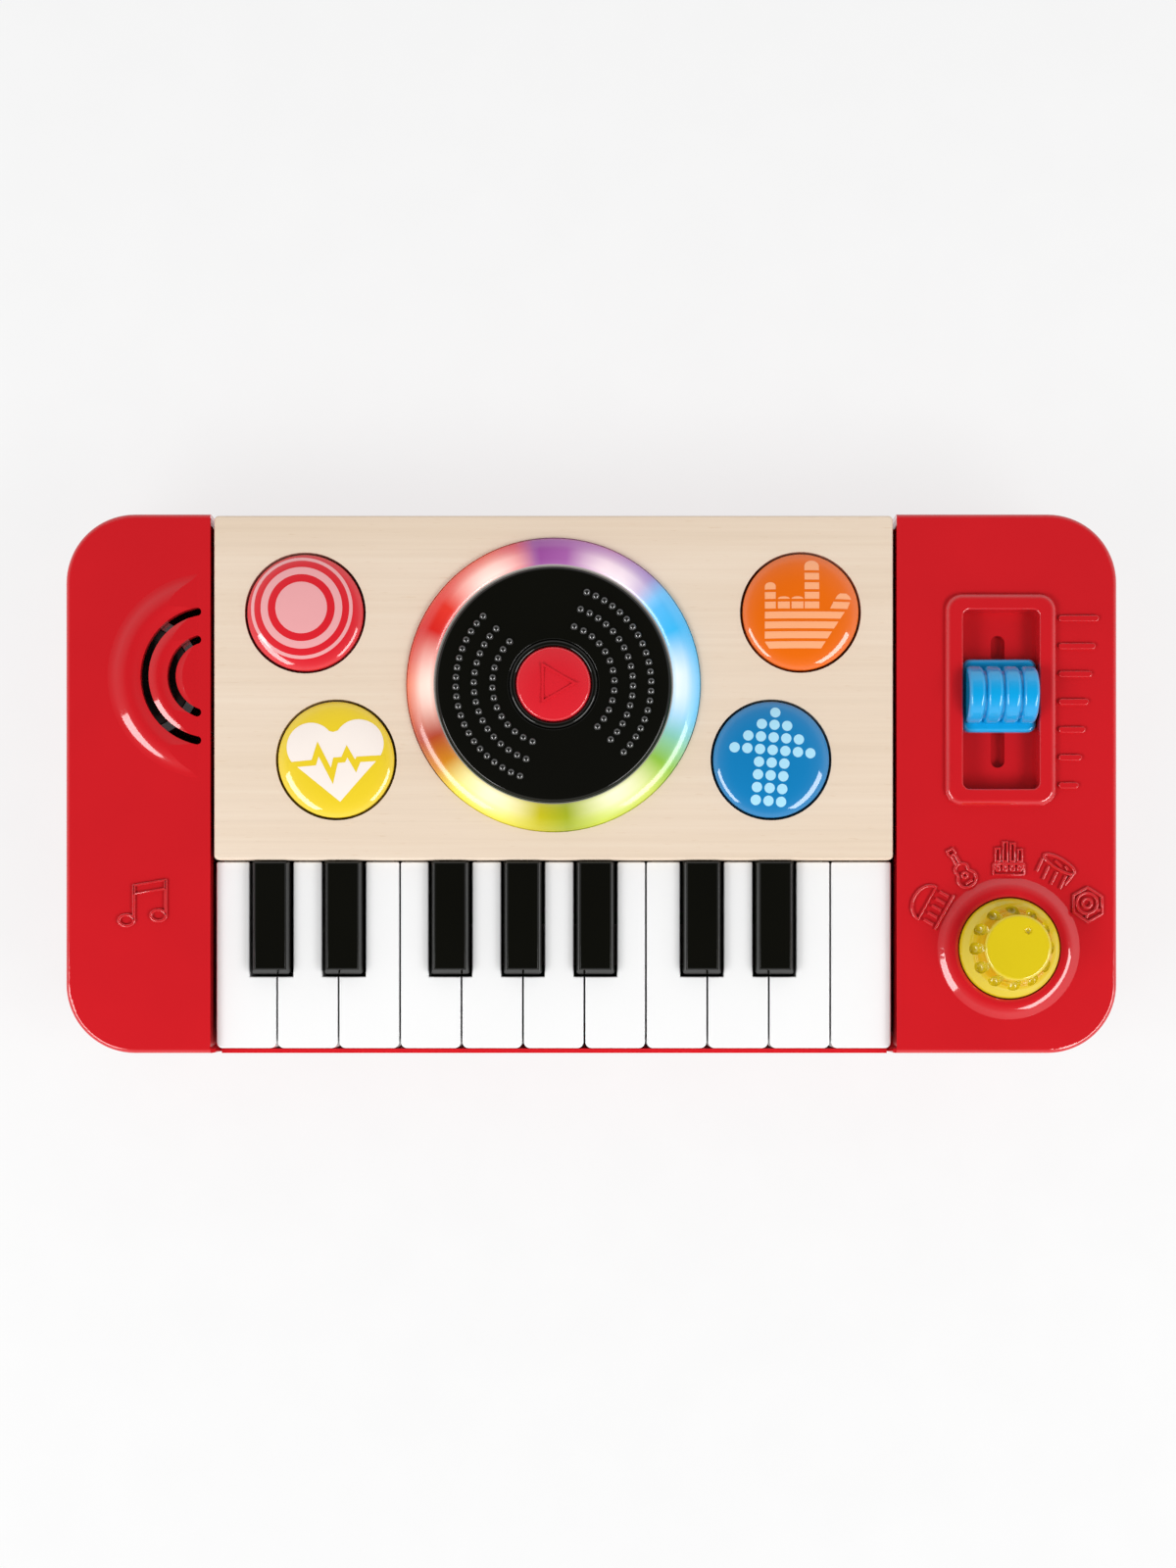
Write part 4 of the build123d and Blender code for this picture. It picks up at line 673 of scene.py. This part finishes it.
def turning_disc():
    """A disc with softly rounded edges in place of the CAD one."""
    low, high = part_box("turntable_disc")
    top = high.z
    radius = radius_of("turntable_disc")
    hub_bore, hub_outer = 13.57 * MM, 16.65 * MM
    hole, hole_round = 14.65 * MM, 0.4 * MM
    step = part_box("turntable_post")[1].z - 2.0 * MM
    rim_round, rim_lift = 1.0 * MM, 0.25 * MM
    rim_width, rim_bottom = 1.6 * MM, low.z + 6.4 * MM
    underside = top - 2.2 * MM
    profile = [(hole, step), (hole, top - hole_round)]
    profile += arc((hole + hole_round, top - hole_round), hole_round, 180, 90, 6)
    profile += [(radius - 2.4 * MM, top)]
    profile += arc((radius - rim_round, top - rim_round + rim_lift), rim_round, 100, 0, 10)
    profile += [
        (radius, rim_bottom),
        (radius - rim_width, rim_bottom),
        (radius - rim_width, underside),
        (hub_outer, underside),
        (hub_outer, low.z),
        (hub_bore, low.z),
        (hub_bore, step),
    ]
    mesh = bmesh.new()
    lathe(mesh, profile, mixer_center, 224)
    disc = make_piece("turntable_record", mesh, "black_plastic", "turntable")
    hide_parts("turntable_disc")


def disc_bumps():
    """Six arcs of flattened half spheres on the disc, three on each side."""
    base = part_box("turntable_disc")[1].z
    radius, height, foot = 1.25 * MM, 1.0 * MM, 0.2 * MM
    levels = 5
    profile = [(0.0, base - foot)]
    for level in range(levels):
        tilt = math.pi / 2 * level / levels
        profile.append((radius * math.cos(tilt), base + height * math.sin(tilt)))
    profile.append((0.0, base + height))
    mesh = bmesh.new()
    for start, end in ((70.0, -44.0), (250.0, 136.0)):
        for row_radius, count in ((31.8, 21), (25.9, 17), (19.9, 13)):
            for center in arc(mixer_center, row_radius * MM, start, end, count - 1):
                lathe(mesh, profile, center, 14)
    make_piece("turntable_bumps", mesh, "black_plastic", "turntable", 70.0, "black_bumps")


round_ring()
turning_disc()
disc_bumps()


# --- Raised line drawings on the covers, in millimetres about each one's middle ---------------
def raised_drawing(name, lines, center, turn):
    """Round raised lines, half sunk in the deck of a cover.

    Each line is its points and whether it closes on itself.
    """
    curve = bpy.data.curves.new(name, "CURVE")
    curve.dimensions = "3D"
    curve.bevel_depth = 1.1 / 2 * MM
    curve.bevel_resolution = 3
    curve.use_fill_caps = True
    height = cover_deck + 0.42 * MM
    for points, closed in lines:
        spline = curve.splines.new("POLY")
        spline.points.add(len(points) - 1)
        spline.use_cyclic_u = closed
        for target, (x, y) in zip(spline.points, turned(points, turn)):
            target.co = (center[0] + x * MM, center[1] + y * MM, height, 1.0)
    holder = bpy.data.objects.new(name + "_lines", curve)
    bpy.context.scene.collection.objects.link(holder)
    bpy.context.view_layer.update()
    mesh = bmesh.new()
    mesh.from_mesh(bpy.data.meshes.new_from_object(holder))
    bpy.data.objects.remove(holder)
    make_piece(name, mesh, "red_plastic", "case", 50.0)


def pipes_lines():
    """Four standing pipes over a wind box with four holes."""
    lines = []
    for x, top in ((-3.6, 3.2), (-1.2, 5.2), (1.2, 4.8), (3.6, 2.8)):
        lines.append(([(x - 0.7, -1.0), (x - 0.7, top), (x + 0.7, top), (x + 0.7, -1.0)], True))
        lines.append((ellipse((x, -3.2), 0.6, 0.9, count=10), True))
    box = [(-5.0, -5.4), (-5.0, -2.2), (-4.4, -1.8), (4.4, -1.8), (5.0, -2.2), (5.0, -5.4)]
    return lines + [(box, True)]


def drum_lines():
    """A drum seen from a little above: its head, slanted cords, a side and two sticks."""
    head_middle, half_width, half_height = 2.6, 5.8, 1.7
    lines = [(ellipse((0, head_middle), half_width, half_height), True)]
    for x in (-5.6, -2.6, 0.6, 3.8):
        head = head_middle - half_height * math.sqrt(max(0.0, 1 - (x / half_width) ** 2)) - 0.9
        lines.append(([(x, head), (x + 0.5, head - 4.6)], False))
    lines.append(([(-1.8, 2.9), (1.0, 2.2)], False))
    lines.append(([(2.0, 3.0), (3.4, 2.4)], False))
    lines.append(([(5.6, 2.2), (5.0, -2.4)], False))
    return lines


def horn_lines():
    """A coiled horn: two rings and a bell, inside a six-sided frame."""
    return [
        (ellipse((0.0, 0.0), 5.7, 5.3, 30, 390, 6), True),
        (ellipse((-0.5, 0.0), 3.4, 3.4), True),
        (ellipse((-0.5, 0.0), 1.5, 1.5, count=12), True),
        ([(2.6, 1.4), (3.6, 2.6)], False),
        ([(2.6, -1.4), (3.6, -2.6)], False),
    ]


def guitar_lines():
    """A waisted body with a bridge, a sound hole, a neck and a head."""
    body = ellipse((0, -3.0), 3.1, 2.7, 132, 408, 18) + ellipse((0, 0.6), 2.2, 1.9, -32, 212, 14)
    return [
        (body, True),
        (ellipse((0, -1.6), 0.9, 0.9, count=10), True),
        ([(-0.6, 2.4), (-0.6, 6.2)], False),
        ([(0.6, 2.4), (0.6, 6.2)], False),
        ([(-1.1, 6.2), (-1.1, 8.0), (1.1, 8.0), (1.1, 6.2)], True),
        ([(-1.3, -4.2), (1.3, -4.2)], False),
    ]


def piano_lines():
    """A small piano: a round lid over a row of keys."""
    lines = [(ellipse((0.0, 1.0), 6.0, 4.6, 0, 180, 16), True)]
    lines.append(([(-6.4, -5.4), (6.4, -5.4)], False))
    for x in (-5.2, -2.6, 0.0, 2.6, 5.2):
        lines.append(([(x, -0.6), (x, -4.0)], False))
    return lines


def note_lines():
    """Two notes joined by a beam."""
    heads = [(ellipse(middle, 2.5, 1.8), True) for middle in ((-6.0, -6.2), (4.4, -4.6))]
    stems = [([(-3.6, -6.0), (-3.6, 5.2)], False), ([(6.8, -4.4), (6.8, 7.0)], False)]
    beam = [(-3.6, 5.2), (6.8, 7.0), (6.8, 4.2), (-3.6, 2.4)]
    return heads + stems + [(beam, True)]


# The instruments stand in an arc about the knob, with their tops outward.
ICON_DISTANCE = 29.4 * MM
icons = (
    ("icon_horn", horn_lines(), 29),
    ("icon_drum", drum_lines(), 59),
    ("icon_pipes", pipes_lines(), 90),
    ("icon_guitar", guitar_lines(), 121),
    ("icon_piano", piano_lines(), 151),
)
for icon_name, icon_lines, icon_angle in icons:
    outward = math.radians(icon_angle)
    icon_center = (
        knob_center[0] + ICON_DISTANCE * math.cos(outward),
        knob_center[1] + ICON_DISTANCE * math.sin(outward),
    )
    raised_drawing(icon_name, icon_lines, icon_center, icon_angle - 90)
note_center = (middle_of("left_cover")[0] + 2.4 * MM, -38.5 * MM)
raised_drawing("note_emblem", note_lines(), note_center, 0.0)


# --- Floor, light and camera ------------------------------------------------------------------
def build_floor():
    """A pale floor that glows a little."""
    mesh = bmesh.new()
    bmesh.ops.create_grid(mesh, x_segments=1, y_segments=1, size=4.0)
    data = bpy.data.meshes.new("floor")
    mesh.to_mesh(data)
    mesh.free()
    floor = bpy.data.objects.new("floor", data)
    bpy.context.scene.collection.objects.link(floor)
    tree, shader = start_material("floor_paper")
    paper = noise(tree, place_vector(tree), scale=40.0, detail=3.0)
    paper_color = ramp(tree, paper, ((0.3, grey(0.145)), (0.7, grey(0.155))))
    feed(tree, shader.inputs["Base Color"], paper_color)
    shader.inputs["Roughness"].default_value = 0.8
    shader.inputs["Emission Color"].default_value = WHITE
    shader.inputs["Emission Strength"].default_value = 0.76
    data.materials.append(materials["floor_paper"])


def build_sky():
    """A plain sky that is bright at the horizon and dark straight above."""
    world = bpy.data.worlds.new("studio")
    bpy.context.scene.world = world
    world.use_nodes = True
    tree = world.node_tree
    background = tree.nodes["Background"]
    up = split_vector(tree, "Generated")["Z"]
    sky_levels = ((0.0, 0.95), (0.5, 0.9), (0.7, 0.42), (0.86, 0.2), (0.94, 0.07), (1.0, 0.04))
    sky = ramp(tree, up, [(height, grey(level)) for height, level in sky_levels])
    tree.links.new(sky, background.inputs["Color"])
    background.inputs["Strength"].default_value = 1.0


def soft_box(name, x):
    """A wide soft light in front of the toy, turned to its deck."""
    place = Vector((x, -0.36, 0.66))
    data = bpy.data.lights.new(name, "AREA")
    data.shape = "RECTANGLE"
    data.size, data.size_y = 0.66, 0.26
    data.energy = 4.8
    light = bpy.data.objects.new(name, data)
    bpy.context.scene.collection.objects.link(light)
    light.location = place
    toward = Vector((0, 0, deck_height)) - place
    light.rotation_euler = toward.to_track_quat("-Z", "Y").to_euler()


def build_camera():
    """Straight down from above the front edge, with the lens shifted back over the toy."""
    picture_height = 0.5112
    height_over_deck = 0.69
    center_y = -0.0002
    camera_y = -0.066
    sensor = 36.0
    data = bpy.data.cameras.new("camera")
    data.sensor_fit = "VERTICAL"
    data.sensor_height = sensor
    data.sensor_width = sensor
    data.lens = sensor * height_over_deck / picture_height
    data.shift_y = (center_y - camera_y) / picture_height
    data.clip_start = 0.01
    camera = bpy.data.objects.new("camera", data)
    bpy.context.scene.collection.objects.link(camera)
    camera.location = (-0.0011, camera_y, deck_height + height_over_deck)
    camera.rotation_euler = (0.0, 0.0, 0.0)
    bpy.context.scene.camera = camera


bpy.context.scene.view_settings.view_transform = "Standard"
build_floor()
build_sky()
soft_box("left_front_box", -0.62)
soft_box("right_front_box", 0.62)
build_camera()
